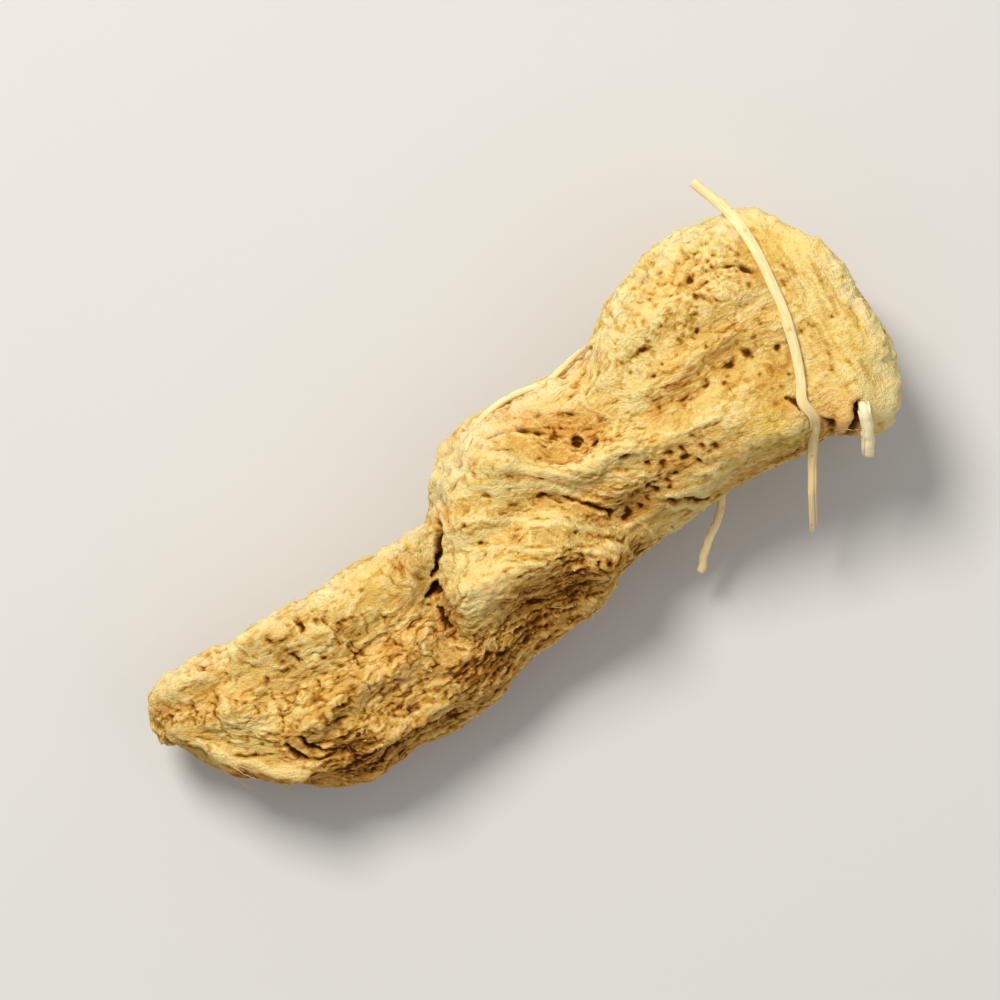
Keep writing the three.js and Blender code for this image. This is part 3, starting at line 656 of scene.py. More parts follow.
def add_cracks(skin):
    """Cracks with ragged edges, narrower at their ends, each between two low banks."""
    for width, depth, route in CRACKS:
        away, where, _ = route_distance(skin.wandering, route_points(route, 0.15))
        width = width * (0.45 + 0.55 * np.sin(np.pi * np.clip(where, 0.03, 0.97)) ** 0.5)
        width = width * (1 + 0.4 * noise(np.c_[skin.plan * 4.0, np.full(len(skin.plan), depth * 70)]))
        slit = np.clip(1 - away / width, 0, 1) * skin.top
        bank = np.exp(-(((away - 1.8 * width) / width) ** 2)) * skin.top
        skin.rise += -depth * slit**0.8 + 0.1 * depth * bank
        # the crack is darker the deeper it is: partly the brown of the split flesh, partly painted shade
        skin.dark = np.maximum(skin.dark, min(1.0, 0.3 + 4 * depth) * slit**0.6)


def add_pit(skin, x, y, radius, depth, darkness, length=1.0, way=0.0):
    """One pit in the top, longer one way if asked for, or a pale grain where the depth is below zero."""
    close = np.flatnonzero(np.hypot(skin.plan[:, 0] - x, skin.plan[:, 1] - y) < 1.6 * radius * length + 0.1)
    close = close[(skin.normals[close, 2] > 0.4) & (skin.top[close] > 0.5)]
    if not len(close):
        return
    middle = close[np.argmin(np.hypot(skin.plan[close, 0] - x, skin.plan[close, 1] - y))]
    off = skin.places[close] - skin.places[middle] + skin.wobble[close] * min(1.0, radius / 0.08)
    along = np.array([math.cos(way), math.sin(way), 0.0])
    along -= skin.normals[middle] * (along @ skin.normals[middle])
    along /= np.linalg.norm(along)
    off -= np.outer(off @ along * (1 - 1 / length), along)
    bowl = np.clip(1 - (np.linalg.norm(off, axis=1) / (1.15 * radius)) ** 2, 0, 1)
    skin.rise[close] -= depth * bowl
    # darkest in the middle of the pit: partly the brown of the pit, partly painted shade
    skin.dark[close] = np.maximum(skin.dark[close], darkness * bowl**1.2)
    if depth < 0:
        skin.pale[close] = np.maximum(skin.pale[close], bowl)


def add_pits(skin):
    """The pits, slots and dashes at their known places, then pores and grains by chance."""
    chance = np.random.default_rng(8)
    for pit in PITS:
        add_pit(skin, *pit)
    for x, y, radius, length, way, depth, darkness in SLOTS:
        add_pit(skin, x, y, radius, depth, darkness, length, math.radians(way))
    for x, y, way in SCAR_DASHES:
        x, y = [x, y] + chance.normal(0, 0.04, 2)
        darkness = chance.uniform(0.7, 1.0)
        radius, length = chance.uniform(0.06, 0.1), chance.uniform(1.0, 2.2)
        add_pit(skin, x, y, radius, 0.07 * darkness, darkness, length, math.radians(way))
    for _ in range(240):  # pores of the head's shoulder, thickest towards its edge, none on its smooth part
        x, y = chance.uniform(3.2, 6.7), 3.5 - 2.1 * chance.random() ** 1.4
        radius, depth, darkness = chance.uniform([0.04, 0.01, 0.3], [0.09, 0.045, 0.95])
        if math.dist((x, y), EYE_SCAR) > 0.36 and not (x > 5.7 and y < 2.15):
            add_pit(skin, x, y, radius, depth, darkness)
    for _ in range(110):  # pale grains among them
        x, y = chance.uniform(3.2, 6.7), 3.5 - 2.2 * chance.random() ** 1.2
        add_pit(skin, x, y, chance.uniform(0.05, 0.1), chance.uniform(-0.035, -0.015), 0.0)
    for _ in range(150):  # a few anywhere
        x, y = chance.uniform(-8.5, 8.4), chance.uniform(-3.4, 3.2)
        add_pit(skin, x, y, *chance.uniform([0.04, 0.02, 0.3], [0.075, 0.06, 0.9]))


def strokes(skin, chosen, seed, count, length, width, amount, across):
    """Short strokes at random places, along the grain or, for the share `across` of them, across it.
    Returns how far each place is cut or raised by them, and how much it belongs to one."""
    chance = np.random.default_rng(seed)
    places, normals = skin.places, skin.normals
    cut = np.zeros(len(places))
    mask = np.zeros(len(places))
    for centre in chance.choice(np.flatnonzero(chosen), count):
        half = chance.uniform(*length) / 2
        thin = chance.uniform(*width)
        deep = chance.uniform(*amount)
        bow = 0.5 * chance.normal()
        turn = chance.normal(0, 0.15) + (np.pi / 2 if chance.random() < across else 0)
        beside = np.cross(normals[centre], skin.ways[centre])
        way = skin.ways[centre] * np.cos(turn) + beside * np.sin(turn)
        near = np.flatnonzero(np.abs(places - places[centre]).max(axis=1) < half + 0.3)
        off = places[near] - places[centre]
        along = off @ way
        aside = off @ np.cross(normals[centre], way) + bow * along**2
        aside = np.abs(aside + 0.02 * np.sin(23 * along + 9 * bow))
        narrowing = np.sqrt(np.clip(1 - (along / half) ** 2, 0.001, 1))
        groove = np.clip(1 - aside / (thin * narrowing), 0, 1)
        groove *= (np.abs(along) < half) & (normals[near] @ normals[centre] > 0)
        cut[near] = np.maximum(cut[near], deep * groove**0.8)
        mask[near] = np.maximum(mask[near], groove**0.6)
    return cut, mask


def add_strokes(skin):
    """Brown slits between the fibres, darkened partly as painted shade, and single pale fibres that stand a
    little out of the skin.
    """
    clear = (skin.normals[:, 2] > -0.3) & (skin.places[:, 2] > 0.3)
    tail = clear & (skin.plan[:, 0] < -1.8) & (skin.from_lip > 0.4)
    middle = clear & (skin.plan[:, 0] > -1.8) & (skin.plan[:, 0] < 3.2)
    head = clear & (skin.plan[:, 0] > 2.8) & (skin.plan[:, 0] < 7.2)
    lower = clear & (skin.below > 0.6) & (skin.plan[:, 0] > -6.5) & (skin.plan[:, 0] < 6.5)
    end = clear & (skin.on_end > 0.6)
    everywhere = skin.places[:, 2] > 0.3
    for seed, chosen, count, length, width, depth, across, darkness in (
        (31, tail, 330, (0.12, 0.5), (0.03, 0.06), (0.01, 0.03), 0.45, 0.65),
        (32, middle, 170, (0.12, 0.6), (0.03, 0.05), (0.01, 0.025), 0.08, 0.55),
        (33, head, 120, (0.1, 0.45), (0.03, 0.045), (0.008, 0.02), 0.1, 0.5),
        (34, lower, 170, (0.4, 1.6), (0.03, 0.05), (0.015, 0.035), 0.0, 0.55),
        (35, everywhere, 90, (0.3, 1.2), (0.03, 0.05), (0.01, 0.03), 0.0, 0.45),
        (36, end, 130, (0.2, 1.0), (0.03, 0.055), (0.006, 0.02), 1.0, 0.35),
    ):
        cut, mask = strokes(skin, chosen, seed, count, length, width, depth, across)
        skin.rise -= cut * (1 - skin.ground)
        # the slits are darkened: partly their brown, partly painted shade
        skin.dark = np.maximum(skin.dark, darkness * mask)
    for seed, chosen, count, length, width, height, across in (
        (41, middle, 150, (0.3, 1.5), (0.03, 0.055), (0.015, 0.035), 0.12),
        (42, tail, 280, (0.1, 0.5), (0.04, 0.07), (0.015, 0.04), 0.15),
        (43, head, 60, (0.3, 1.4), (0.03, 0.045), (0.015, 0.03), 0.12),
        (44, lower, 80, (0.5, 1.8), (0.03, 0.05), (0.02, 0.04), 0.05),
        (45, end, 60, (0.2, 0.8), (0.035, 0.06), (0.008, 0.02), 1.0),
    ):
        lift, mask = strokes(skin, chosen, seed, count, length, width, height, across)
        skin.rise += lift
        skin.pale = np.maximum(skin.pale, 0.7 * mask)


def weather(places, normals):
    """Moves the even surface into a shrunken, fibrous one. Returns it with what its material reads."""
    skin = Skin(places, normals)
    for add in (add_grain, add_plates, add_crests, add_cracks, add_pits, add_strokes):
        add(skin)
    moved = places + normals * (skin.rise * (1 - 0.8 * skin.ground))[:, None]
    moved[:, 2] = np.maximum(moved[:, 2], 0.0)
    shoulder = smoothstep(skin.plan[:, 0], 3.0, 3.8) * (1 - smoothstep(skin.plan[:, 0], 6.2, 6.8))
    # painted shade: the lower flank, turned away from the key light, is darkened in the colour
    flank = skin.below * smoothstep(-normals[:, 1], 0.1, 0.6)
    old_skin = noise.layers(skin.grain * [0.5, 0.8, 0.8] + 40, 3)
    old_skin = old_skin + 0.45 * skin.on_tail - 0.5 * skin.on_end - 0.1
    fuzz = (0.07 + 0.35 * skin.pale) * smoothstep(normals[:, 2], -0.4, 0.0)
    facts = {
        "dark": skin.dark,
        "skin": smoothstep(old_skin, -0.1, 0.7),
        "pores": shoulder * smoothstep(skin.plan[:, 1], 1.3, 2.3) * skin.top,
        "end": skin.on_end,
        "flank": flank,
        # rusty patches of the top, and the lower flank darkened and reddened as painted shade
        "rust_and_flank_shade": np.maximum(patches(skin.wandering, RUSTY) * skin.top, 0.6 * flank),
        "yellow": patches(skin.wandering, YELLOW) * skin.top,
        "pale": np.maximum(patches(skin.wandering, PALE) * skin.top * 0.8, skin.pale),
        # painted highlight along the rim
        "rim": skin.rim * smoothstep(noise.layers(places * 3.0 + 90, 2), -0.6, 0.3),
        "fuzz": fuzz * (1 - skin.ground) * (1 - skin.dark),
    }
    return moved, facts, skin.grain, skin.ways


def standing_out(places, normals, rings, around, passes):
    """How far each place stands out of those round it: above zero on ridges, below zero in hollows."""
    grid = places[: rings * around].reshape(rings, around, 3)
    eased = np.stack([blur_grid(grid[..., k], passes) for k in range(3)], axis=2)
    out = np.einsum("ijk,ijk->ij", grid - eased, normals[: rings * around].reshape(rings, around, 3)).ravel()
    return np.concatenate([out, [0.0, 0.0]])


def carry(mesh, name, values):
    """Gives each vertex of a mesh a number or a vector under this name."""
    kind, key = ("FLOAT_VECTOR", "vector") if values.ndim > 1 else ("FLOAT", "value")
    attribute = mesh.attributes.new(name, kind, "POINT")
    attribute.data.foreach_set(key, values.astype(np.float32).ravel())


def add_object(name, data):
    """A new object in the scene."""
    thing = bpy.data.objects.new(name, data)
    bpy.context.collection.objects.link(thing)
    return thing


def make_body():
    """The whole skin of the root, as one closed mesh."""
    tree = cad_surface()
    places, poles = body_grid(tree)
    rings, around = places.shape[:2]
    faces = grid_faces(rings, around)
    flat = np.vstack([places.reshape(-1, 3), poles])
    normals = vertex_normals(flat, faces)
    moved, facts, grain, ways = weather(flat, normals)
    new_normals = vertex_normals(moved, faces)
    for name, passes in RELIEF_PASSES.items():
        facts[name] = standing_out(moved, new_normals, rings, around, passes)
    mesh = bpy.data.meshes.new("root_body")
    mesh.from_pydata(moved * MM, [], faces)
    for name, values in {**facts, "grain": grain, "grain_way": ways}.items():
        carry(mesh, name, values)
    mesh.polygons.foreach_set("use_smooth", [True] * len(mesh.polygons))
    return add_object("root_body", mesh)


body = make_body()

NUMBER, VECTOR, COLOUR = "NodeSocketFloat", "NodeSocketVector", "NodeSocketColor"


def new_material(name):
    """A material, its node tree and its shader."""
    material = bpy.data.materials.new(name)
    material.use_nodes = True
    return material, material.node_tree, material.node_tree.nodes["Principled BSDF"]


def group(name, inputs, outputs):
    """A shader node group, with its sockets, and the nodes that stand for its inputs and outputs."""
    tree = bpy.data.node_groups.new(name, "ShaderNodeTree")
    for label, kind, value in inputs:
        socket = tree.interface.new_socket(name=label, in_out="INPUT", socket_type=kind)
        if value is not None:
            socket.default_value = value
    for label, kind in outputs:
        tree.interface.new_socket(name=label, in_out="OUTPUT", socket_type=kind)
    return tree, tree.nodes.new("NodeGroupInput"), tree.nodes.new("NodeGroupOutput")


def put(tree, kind, **settings):
    """A node with its settings; one whose name starts with in_ is the value of an input socket."""
    node = tree.nodes.new(kind)
    for key, value in settings.items():
        if key.startswith("in_"):
            node.inputs[key[3:].replace("_", " ")].default_value = value
        else:
            setattr(node, key, value)
    return node


def math_node(tree, operation, a, b=None, c=None):
    """The outcome of a sum on sockets or numbers."""
    node = tree.nodes.new("ShaderNodeMath")
    node.operation = operation
    for i, value in enumerate((a, b, c)):
        if value is None:
            continue
        if isinstance(value, (int, float)):
            node.inputs[i].default_value = value
        else:
            tree.links.new(value, node.inputs[i])
    return node.outputs[0]


def remap(tree, value, low, high, to_low=0.0, to_high=1.0):
    """A value eased from one range of numbers to another."""
    node = tree.nodes.new("ShaderNodeMapRange")
    node.interpolation_type = "SMOOTHSTEP"
    tree.links.new(value, node.inputs["Value"])
    for label, number in zip(("From Min", "From Max", "To Min", "To Max"), (low, high, to_low, to_high)):
        node.inputs[label].default_value = number
    return node.outputs["Result"]


def stretch(tree, vector, scale):
    """A vector times three numbers."""
    node = put(tree, "ShaderNodeVectorMath", operation="MULTIPLY")
    tree.links.new(vector, node.inputs[0])
    node.inputs[1].default_value = scale
    return node.outputs[0]


def mix_colour(tree, factor, a, b, blend="MIX"):
    """Two colours mixed; each may be a socket or a tuple, and the factor a socket or a number."""
    node = put(tree, "ShaderNodeMix", data_type="RGBA", blend_type=blend, clamp_factor=True)
    for socket, value in ((node.inputs[0], factor), (node.inputs[6], a), (node.inputs[7], b)):
        if isinstance(value, (int, float)):
            socket.default_value = value
        elif isinstance(value, tuple):
            socket.default_value = (*value, 1.0)
        else:
            tree.links.new(value, socket)
    return node.outputs[2]


def noise_texture(tree, place, **settings):
    """A noise texture at a place: its value, and its colour."""
    node = put(tree, "ShaderNodeTexNoise", **settings)
    tree.links.new(place, node.inputs["Vector"])
    return node.outputs


def spot_texture(tree, place, scale):
    """How far each place is from the middle of its spot, and three numbers drawn for the spot."""
    spots = put(tree, "ShaderNodeTexVoronoi", in_Scale=scale)
    tree.links.new(place, spots.inputs["Vector"])
    drawn = put(tree, "ShaderNodeSeparateColor")
    tree.links.new(spots.outputs["Color"], drawn.inputs[0])
    return spots.outputs["Distance"], drawn.outputs


def pushed(tree, place, push, amount):
    """A place pushed about by a texture's colour."""
    node = put(tree, "ShaderNodeVectorMath", operation="MULTIPLY_ADD")
    tree.links.new(push, node.inputs[0])
    node.inputs[1].default_value = amount
    tree.links.new(place, node.inputs[2])
    return node.outputs[0]


def add_bump(tree, height, strength, distance, below=None):
    """A bump of this height in metres, on top of the one below if there is one."""
    node = put(tree, "ShaderNodeBump", in_Strength=strength, in_Distance=distance)
    tree.links.new(height, node.inputs["Height"])
    if below:
        tree.links.new(below, node.inputs["Normal"])
    return node.outputs[0]


def fibre_streaks_group():
    """Long thin streaks along the grain: two tones, flecks, single pale fibres, and a height."""
    tree, into, out = group(
        "fibre_streaks",
        [("Grain", VECTOR, None), ("Broad Size", NUMBER, 1.0), ("Fine Size", NUMBER, 1.0)],
        [(name, NUMBER) for name in ("Broad", "Fine", "Flecks", "Pale Fibres", "Height")],
    )
    grain = into.outputs["Grain"]
    bend = noise_texture(tree, grain, in_Scale=1.3, in_Detail=3.0)
    bent = pushed(tree, grain, bend["Color"], (0.35, 0.4, 0.4))

    def streaks(stretched, detail, size):
        node = put(tree, "ShaderNodeTexNoise", in_Detail=detail, in_Roughness=0.62)
        tree.links.new(stretch(tree, bent, stretched), node.inputs["Vector"])
        tree.links.new(into.outputs[size], node.inputs["Scale"])
        return node.outputs[0]

    broad = streaks((0.5, 3.4, 3.4), 3.0, "Broad Size")
    fine = streaks((1.6, 14.0, 14.0), 4.0, "Fine Size")
    flecks = streaks((1.7, 5.5, 5.5), 2.0, "Broad Size")
    single = streaks((0.9, 9.0, 9.0), 1.0, "Fine Size")
    thread = math_node(tree, "ABSOLUTE", math_node(tree, "SUBTRACT", single, 0.5))
    thread = remap(tree, thread, 0.07, 0.0)
    patchy = noise_texture(tree, grain, in_Scale=1.1, in_Detail=1.0)[0]
    thread = math_node(tree, "MULTIPLY", thread, remap(tree, patchy, 0.46, 0.6))
    height = 0.0
    for tone, share in ((broad, 0.5), (fine, 0.5), (thread, 0.06)):
        height = math_node(tree, "MULTIPLY_ADD", tone, share, height)
    for name, value in (
        ("Broad", remap(tree, broad, 0.34, 0.66)),
        ("Fine", remap(tree, fine, 0.34, 0.66)),
        ("Flecks", remap(tree, flecks, 0.53, 0.64)),
        ("Pale Fibres", thread),
        ("Height", height),
    ):
        tree.links.new(value, out.inputs[name])
    return tree


def dry_specks_group():
    """Small dark specks, pale starchy grains and a rough grit for the bump, in object space in metres."""
    tree, into, out = group(
        "dry_specks",
        [("Place", VECTOR, None), ("Speck Size", NUMBER, 1.0), ("Speck Share", NUMBER, 0.5)],
        [(name, NUMBER) for name in ("Dark Specks", "Pale Grains", "Height")],
    )
    place = into.outputs["Place"]
    push = noise_texture(tree, place, in_Scale=5000.0, in_Detail=2.0)["Color"]
    sized = put(tree, "ShaderNodeVectorMath", operation="SCALE")
    tree.links.new(pushed(tree, place, push, (0.00012, 0.00012, 0.00012)), sized.inputs[0])
    tree.links.new(into.outputs["Speck Size"], sized.inputs["Scale"])
    away, drawn = spot_texture(tree, sized.outputs[0], 4200.0)
    here = math_node(tree, "LESS_THAN", drawn[0], into.outputs["Speck Share"])
    specks = math_node(tree, "MULTIPLY", remap(tree, away, 0.42, 0.16), here)
    grains = noise_texture(tree, place, in_Scale=15000.0, in_Detail=3.0, in_Roughness=0.7)[0]
    tree.links.new(specks, out.inputs["Dark Specks"])
    tree.links.new(remap(tree, grains, 0.52, 0.68), out.inputs["Pale Grains"])
    tree.links.new(grains, out.inputs["Height"])
    return tree


def cut_bundles_group():
    """Fibre bundles cut across: pale rings with a brown middle, a fifth of a millimetre apart."""
    tree, into, out = group(
        "cut_bundles",
        [("Place", VECTOR, None)],
        [(name, NUMBER) for name in ("Pale Rings", "Brown Middles", "Height")],
    )
    away, drawn = spot_texture(tree, into.outputs["Place"], 7000.0)
    middle = math_node(tree, "MULTIPLY", remap(tree, away, 0.34, 0.12), remap(tree, drawn[0], 0.3, 0.7))
    ring = remap(tree, away, 0.25, 0.55)
    pale = math_node(tree, "MULTIPLY", ring, remap(tree, drawn[1], 0.2, 0.8))
    tree.links.new(middle, out.inputs["Brown Middles"])
    tree.links.new(pale, out.inputs["Pale Rings"])
    tree.links.new(math_node(tree, "SUBTRACT", ring, middle), out.inputs["Height"])
    return tree


def flesh_colours_group():
    """The root's colours, from the brown of deep creases at 0, partly painted shade, to the cream of dry
    crests at 1, partly painted highlight.
    """
    tree, into, out = group("flesh_colours", [("Tone", NUMBER, 0.5)], [("Colour", COLOUR)])
    node = tree.nodes.new("ShaderNodeValToRGB")
    ramp = node.color_ramp
    stops = [
        (0.0, (0.06, 0.019, 0.0018)), (0.2, (0.20, 0.076, 0.0065)), (0.4, (0.44, 0.22, 0.034)),
        (0.6, (0.64, 0.385, 0.095)), (0.8, (0.78, 0.545, 0.18)), (1.0, (0.89, 0.72, 0.34)),
    ]
    while len(ramp.elements) < len(stops):
        ramp.elements.new(0.5)
    for element, (place, colour) in zip(ramp.elements, stops):
        element.position = place
        element.color = (*colour, 1.0)
    tree.links.new(into.outputs["Tone"], node.inputs["Fac"])
    tree.links.new(node.outputs["Color"], out.inputs["Colour"])
    return tree


FIBRE_STREAKS = fibre_streaks_group()
FLESH_COLOURS = flesh_colours_group()
DRY_SPECKS = dry_specks_group()
CUT_BUNDLES = cut_bundles_group()


def use_group(tree, group_tree, **values):
    """A node group in use, with its inputs set or joined: its outputs."""
    node = tree.nodes.new("ShaderNodeGroup")
    node.node_tree = group_tree
    for key, value in values.items():
        socket = node.inputs[key.replace("_", " ")]
        if isinstance(value, (int, float)):
            socket.default_value = value
        else:
            tree.links.new(value, socket)
    return node.outputs


def attribute(tree, name, output="Fac"):
    """What a mesh carries under this name, as a socket."""
    return put(tree, "ShaderNodeAttribute", attribute_name=name).outputs[output]


def root_streaks(tree, on_end):
    """Streaks along the grain, which run across the piece on its end."""
    grain = attribute(tree, "grain", "Vector")
    apart, turned = put(tree, "ShaderNodeSeparateXYZ"), put(tree, "ShaderNodeCombineXYZ")
    tree.links.new(grain, apart.inputs[0])
    for a, b in ((0, 1), (1, 0), (2, 2)):
        tree.links.new(apart.outputs[a], turned.inputs[b])
    lengthwise = use_group(tree, FIBRE_STREAKS, Grain=grain, Broad_Size=1.0, Fine_Size=1.0)
    crosswise = use_group(tree, FIBRE_STREAKS, Grain=turned.outputs[0], Broad_Size=1.0, Fine_Size=0.8)
    streaks = {}
    for name in ("Broad", "Fine", "Flecks", "Pale Fibres", "Height"):
        mix = put(tree, "ShaderNodeMix")
        for socket, value in ((0, on_end), (2, lengthwise[name]), (3, crosswise[name])):
            tree.links.new(value, mix.inputs[socket])
        streaks[name] = mix.outputs[0]
    return streaks


def root_material():
    """The dried flesh: its tone is a sum of the skin's facts and of textures, and gives the colour."""
    material, tree, shader = new_material("dried_root_flesh")
    place = put(tree, "ShaderNodeTexCoord").outputs["Object"]
    fact = {name: attribute(tree, name) for name in FACTS}
    streaks = root_streaks(tree, fact["end"])
    specks = use_group(tree, DRY_SPECKS, Place=place, Speck_Size=1.25, Speck_Share=0.25)
    bundles = use_group(tree, CUT_BUNDLES, Place=place)

    def clouds(scale, low, high):
        texture = noise_texture(tree, place, in_Scale=scale, in_Detail=4.0, in_Roughness=0.6)
        return remap(tree, texture[0], low, high)

    def product(a, b):
        return math_node(tree, "MULTIPLY", a, b)

    tone = 0.71
    for amount, value in (
        (0.13, clouds(450.0, 0.35, 0.65)),
        (-0.14, clouds(1700.0, 0.5, 0.75)),
        (-0.13, streaks["Broad"]),
        (0.12, streaks["Fine"]),
        (-0.2, streaks["Flecks"]),
        (0.12, streaks["Pale Fibres"]),
        (-0.08, fact["skin"]),
        (0.03, fact["end"]),
        # painted shade on the lower flank
        (-0.20, fact["flank"]),
        # rusty patches, and the lower flank's painted shade
        (-0.13, fact["rust_and_flank_shade"]),
        # painted shade in hollows and painted highlight on ridges: the tone follows how far each place
        # stands out of those round it
        (-0.17, remap(tree, fact["broad_relief"], -0.02, -0.13)),
        (0.13, remap(tree, fact["broad_relief"], 0.01, 0.11)),
        (-0.2, remap(tree, fact["fine_relief"], -0.005, -0.034)),
        (0.2, remap(tree, fact["fine_relief"], 0.003, 0.026)),
        (0.3, fact["pale"]),
        (0.18, product(bundles["Pale Rings"], fact["pores"])),
        (-0.3, product(bundles["Brown Middles"], fact["pores"])),
        (-0.2, specks["Dark Specks"]),
        (0.10, specks["Pale Grains"]),
    ):
        tone = math_node(tree, "MULTIPLY_ADD", value, amount, tone)
    # cracks, pits and slits darkened: partly their own brown, partly painted shade
    tone = math_node(tree, "MULTIPLY_ADD", fact["dark"], -0.6, math_node(tree, "MINIMUM", tone, 0.95))
    colour = use_group(tree, FLESH_COLOURS, Tone=tone)["Colour"]
    tint = mix_colour(tree, clouds(900.0, 0.35, 0.65), (1.0, 0.94, 0.86), (0.97, 1.0, 0.95))
    colour = mix_colour(tree, 1.0, colour, tint, "MULTIPLY")
    # reddened on the rusty patches, and on the lower flank as painted shade
    reddened = mix_colour(tree, 1.0, colour, (1.0, 0.72, 0.45), "MULTIPLY")
    colour = mix_colour(tree, product(fact["rust_and_flank_shade"], 0.75), colour, reddened)
    # painted highlight: the rim is mixed towards cream
    colour = mix_colour(tree, product(fact["rim"], 0.4), colour, (0.98, 0.88, 0.54))
    colour = mix_colour(tree, product(fact["yellow"], 0.6), colour, (0.88, 0.6, 0.11))
    tree.links.new(colour, shader.inputs["Base Color"])
    tree.links.new(remap(tree, streaks["Fine"], 0.0, 1.0, 0.85, 0.98), shader.inputs["Roughness"])
    shader.inputs["Specular IOR Level"].default_value = 0.12
    normal = None
    for height, strength, distance in (
        (streaks["Height"], 0.75, 0.00013),
        (product(bundles["Height"], fact["pores"]), 0.5, 0.00003),
        (specks["Height"], 0.9, 0.00007),
    ):
        normal = add_bump(tree, height, strength, distance, normal)
    tree.links.new(normal, shader.inputs["Normal"])
    return material


body.data.materials.append(root_material())


def fibre_material(name, whiteness):
    """The straw of loose fibres, fuzz and crumbs, paler where its whiteness says so."""
    material, tree, shader = new_material(name)
    place = put(tree, "ShaderNodeTexCoord").outputs["Object"]
    grain = attribute(tree, "grain", "Vector")
    streaks = use_group(tree, FIBRE_STREAKS, Grain=grain, Broad_Size=1.4, Fine_Size=0.8)
    specks = use_group(tree, DRY_SPECKS, Place=place, Speck_Size=1.6, Speck_Share=0.12)
    fine_share = math_node(tree, "MULTIPLY", streaks["Fine"], 0.5)
    speck_share = math_node(tree, "MULTIPLY", specks["Dark Specks"], 0.4)
    colour = mix_colour(tree, streaks["Broad"], (0.82, 0.62, 0.28), (0.66, 0.42, 0.14))
    colour = mix_colour(tree, fine_share, colour, (0.92, 0.77, 0.44))
    colour = mix_colour(tree, speck_share, colour, (0.3, 0.14, 0.05))
    colour = mix_colour(tree, whiteness, colour, (0.95, 0.85, 0.60))
    tree.links.new(colour, shader.inputs["Base Color"])
    tree.links.new(remap(tree, streaks["Fine"], 0.0, 1.0, 0.6, 0.8), shader.inputs["Roughness"])
    for label, value in (
        ("Specular IOR Level", 0.35), ("Subsurface Weight", 0.15), ("Subsurface Scale", 0.0002),
    ):
        shader.inputs[label].default_value = value
    tree.links.new(add_bump(tree, streaks["Height"], 0.5, 0.00003), shader.inputs["Normal"])
    return material


RAY_START = 0.01  # metres up, well above the root


def top_of(tree, x, y):
    """Height in millimetres of the finished surface at a place of the plan."""
    spot = np.array([x, y]) + PLAN_SHIFT
    hit = tree.ray_cast(Vector((spot[0] * MM, spot[1] * MM, RAY_START)), Vector((0, 0, -1)))
    return hit[0].z / MM if hit[0] else 0.0


def tube(line, radii, sides, flatness, chance, grooves=0.16):
    """A fibre along a line of points, a little flat and grooved along its length, closed at both ends."""
    ahead = np.gradient(line, axis=0)
    ahead /= np.linalg.norm(ahead, axis=1)[:, None]
    side = np.cross(ahead, [0, 0, 1.0])
    side /= np.linalg.norm(side, axis=1)[:, None] + 1e-9
    up = np.cross(side, ahead)
    turn = np.linspace(0, 2 * np.pi, sides, endpoint=False)
    phase = chance.uniform(0, 6.28, 3)
    length = np.r_[0, np.cumsum(np.linalg.norm(np.diff(line, axis=0), axis=1))]
    angle = turn[None] + 0.5 * np.sin(length * 0.9 + phase[0])[:, None]
    swell = 1 + grooves * (0.6 * np.cos(3 * turn + phase[1]) + 0.4 * np.cos(5 * turn + phase[2]))[None]
    r = radii[:, None] * swell
    sideways = side[:, None] * (r * np.cos(angle))[..., None]
    upwards = up[:, None] * (flatness * r * np.sin(angle))[..., None]
    places = line[:, None] + sideways + upwards
    count = len(line)
    first = line[:1] - ahead[:1] * radii[0] * 0.15
    last = line[-1:] + ahead[-1:] * radii[-1] * 0.15
    verts = np.vstack([places.reshape(-1, 3), first, last])
    faces = [f[::-1] for f in grid_faces(count, sides)]
    grain = np.stack([
        np.r_[np.repeat(length, sides), 0, length[-1]],
        np.r_[np.tile(np.cos(turn) * radii.mean(), count), 0, 0] * 2,
        np.r_[np.tile(np.sin(turn) * radii.mean(), count), 0, 0] * 2,
    ], axis=1)
    return verts, faces, grain


def mesh_piece(name, parts, material):
    """One object out of several parts, each with places in millimetres, faces, and places in the grain."""
    verts, faces, grains = [], [], []
    for places, part_faces, grain in parts:
        start = sum(len(v) for v in verts)
        verts.append(places)
        grains.append(grain)
        faces += [[i + start for i in f] for f in part_faces]
    mesh = bpy.data.meshes.new(name)
    mesh.from_pydata(np.vstack(verts) * MM, [], faces)
    carry(mesh, "grain", np.vstack(grains))
    mesh.polygons.foreach_set("use_smooth", [True] * len(mesh.polygons))
    mesh.materials.append(material)
    return add_object(name, mesh)


def fibre_line(surface, route, radius):
    """The line of a loose fibre: on the root's top where its points say so, and in the air elsewhere."""
    plan = np.array([p[:2] for p in route]) + PLAN_SHIFT
    heights = [p[2] if len(p) == 3 else top_of(surface, *p) + 0.4 * radius for p in route]
    line = route_points(np.c_[plan, heights], 0.07)
    lying = np.array([len(p) == 2 for p in route])
    share = np.interp(np.linspace(0, len(route) - 1, len(line)), np.arange(len(route)), lying)
    for _ in range(3):
        for i in np.flatnonzero(share > 0.5):
            line[i, 2] = max(line[i, 2], top_of(surface, *(line[i, :2] - PLAN_SHIFT)) + 0.25 * radius)
        line[1:-1, 2] = 0.5 * line[1:-1, 2] + 0.25 * (line[:-2, 2] + line[2:, 2])
    return line


def thin_fibre(line, share, radius, chance):
    """A thinner fibre that runs beside part of a strand and leaves it at both ends."""
    first, last = chance.uniform(0.0, 0.4), chance.uniform(0.6, 1.0)
    own = line[(share >= first) & (share <= last)]
    own_share = np.linspace(0, 1, len(own))
    offset = chance.choice([-1, 1]) * radius * (0.7 + 1.1 * np.abs(own_share - 0.5) ** 1.5)
    own = own + np.stack([offset, 0 * offset, 0.3 * radius * np.ones(len(own))], axis=1)
    narrow = np.minimum(1, 0.3 + 5 * np.minimum(own_share, 1 - own_share))
    return tube(own, radius * 0.24 * narrow, 6, 0.9, chance)


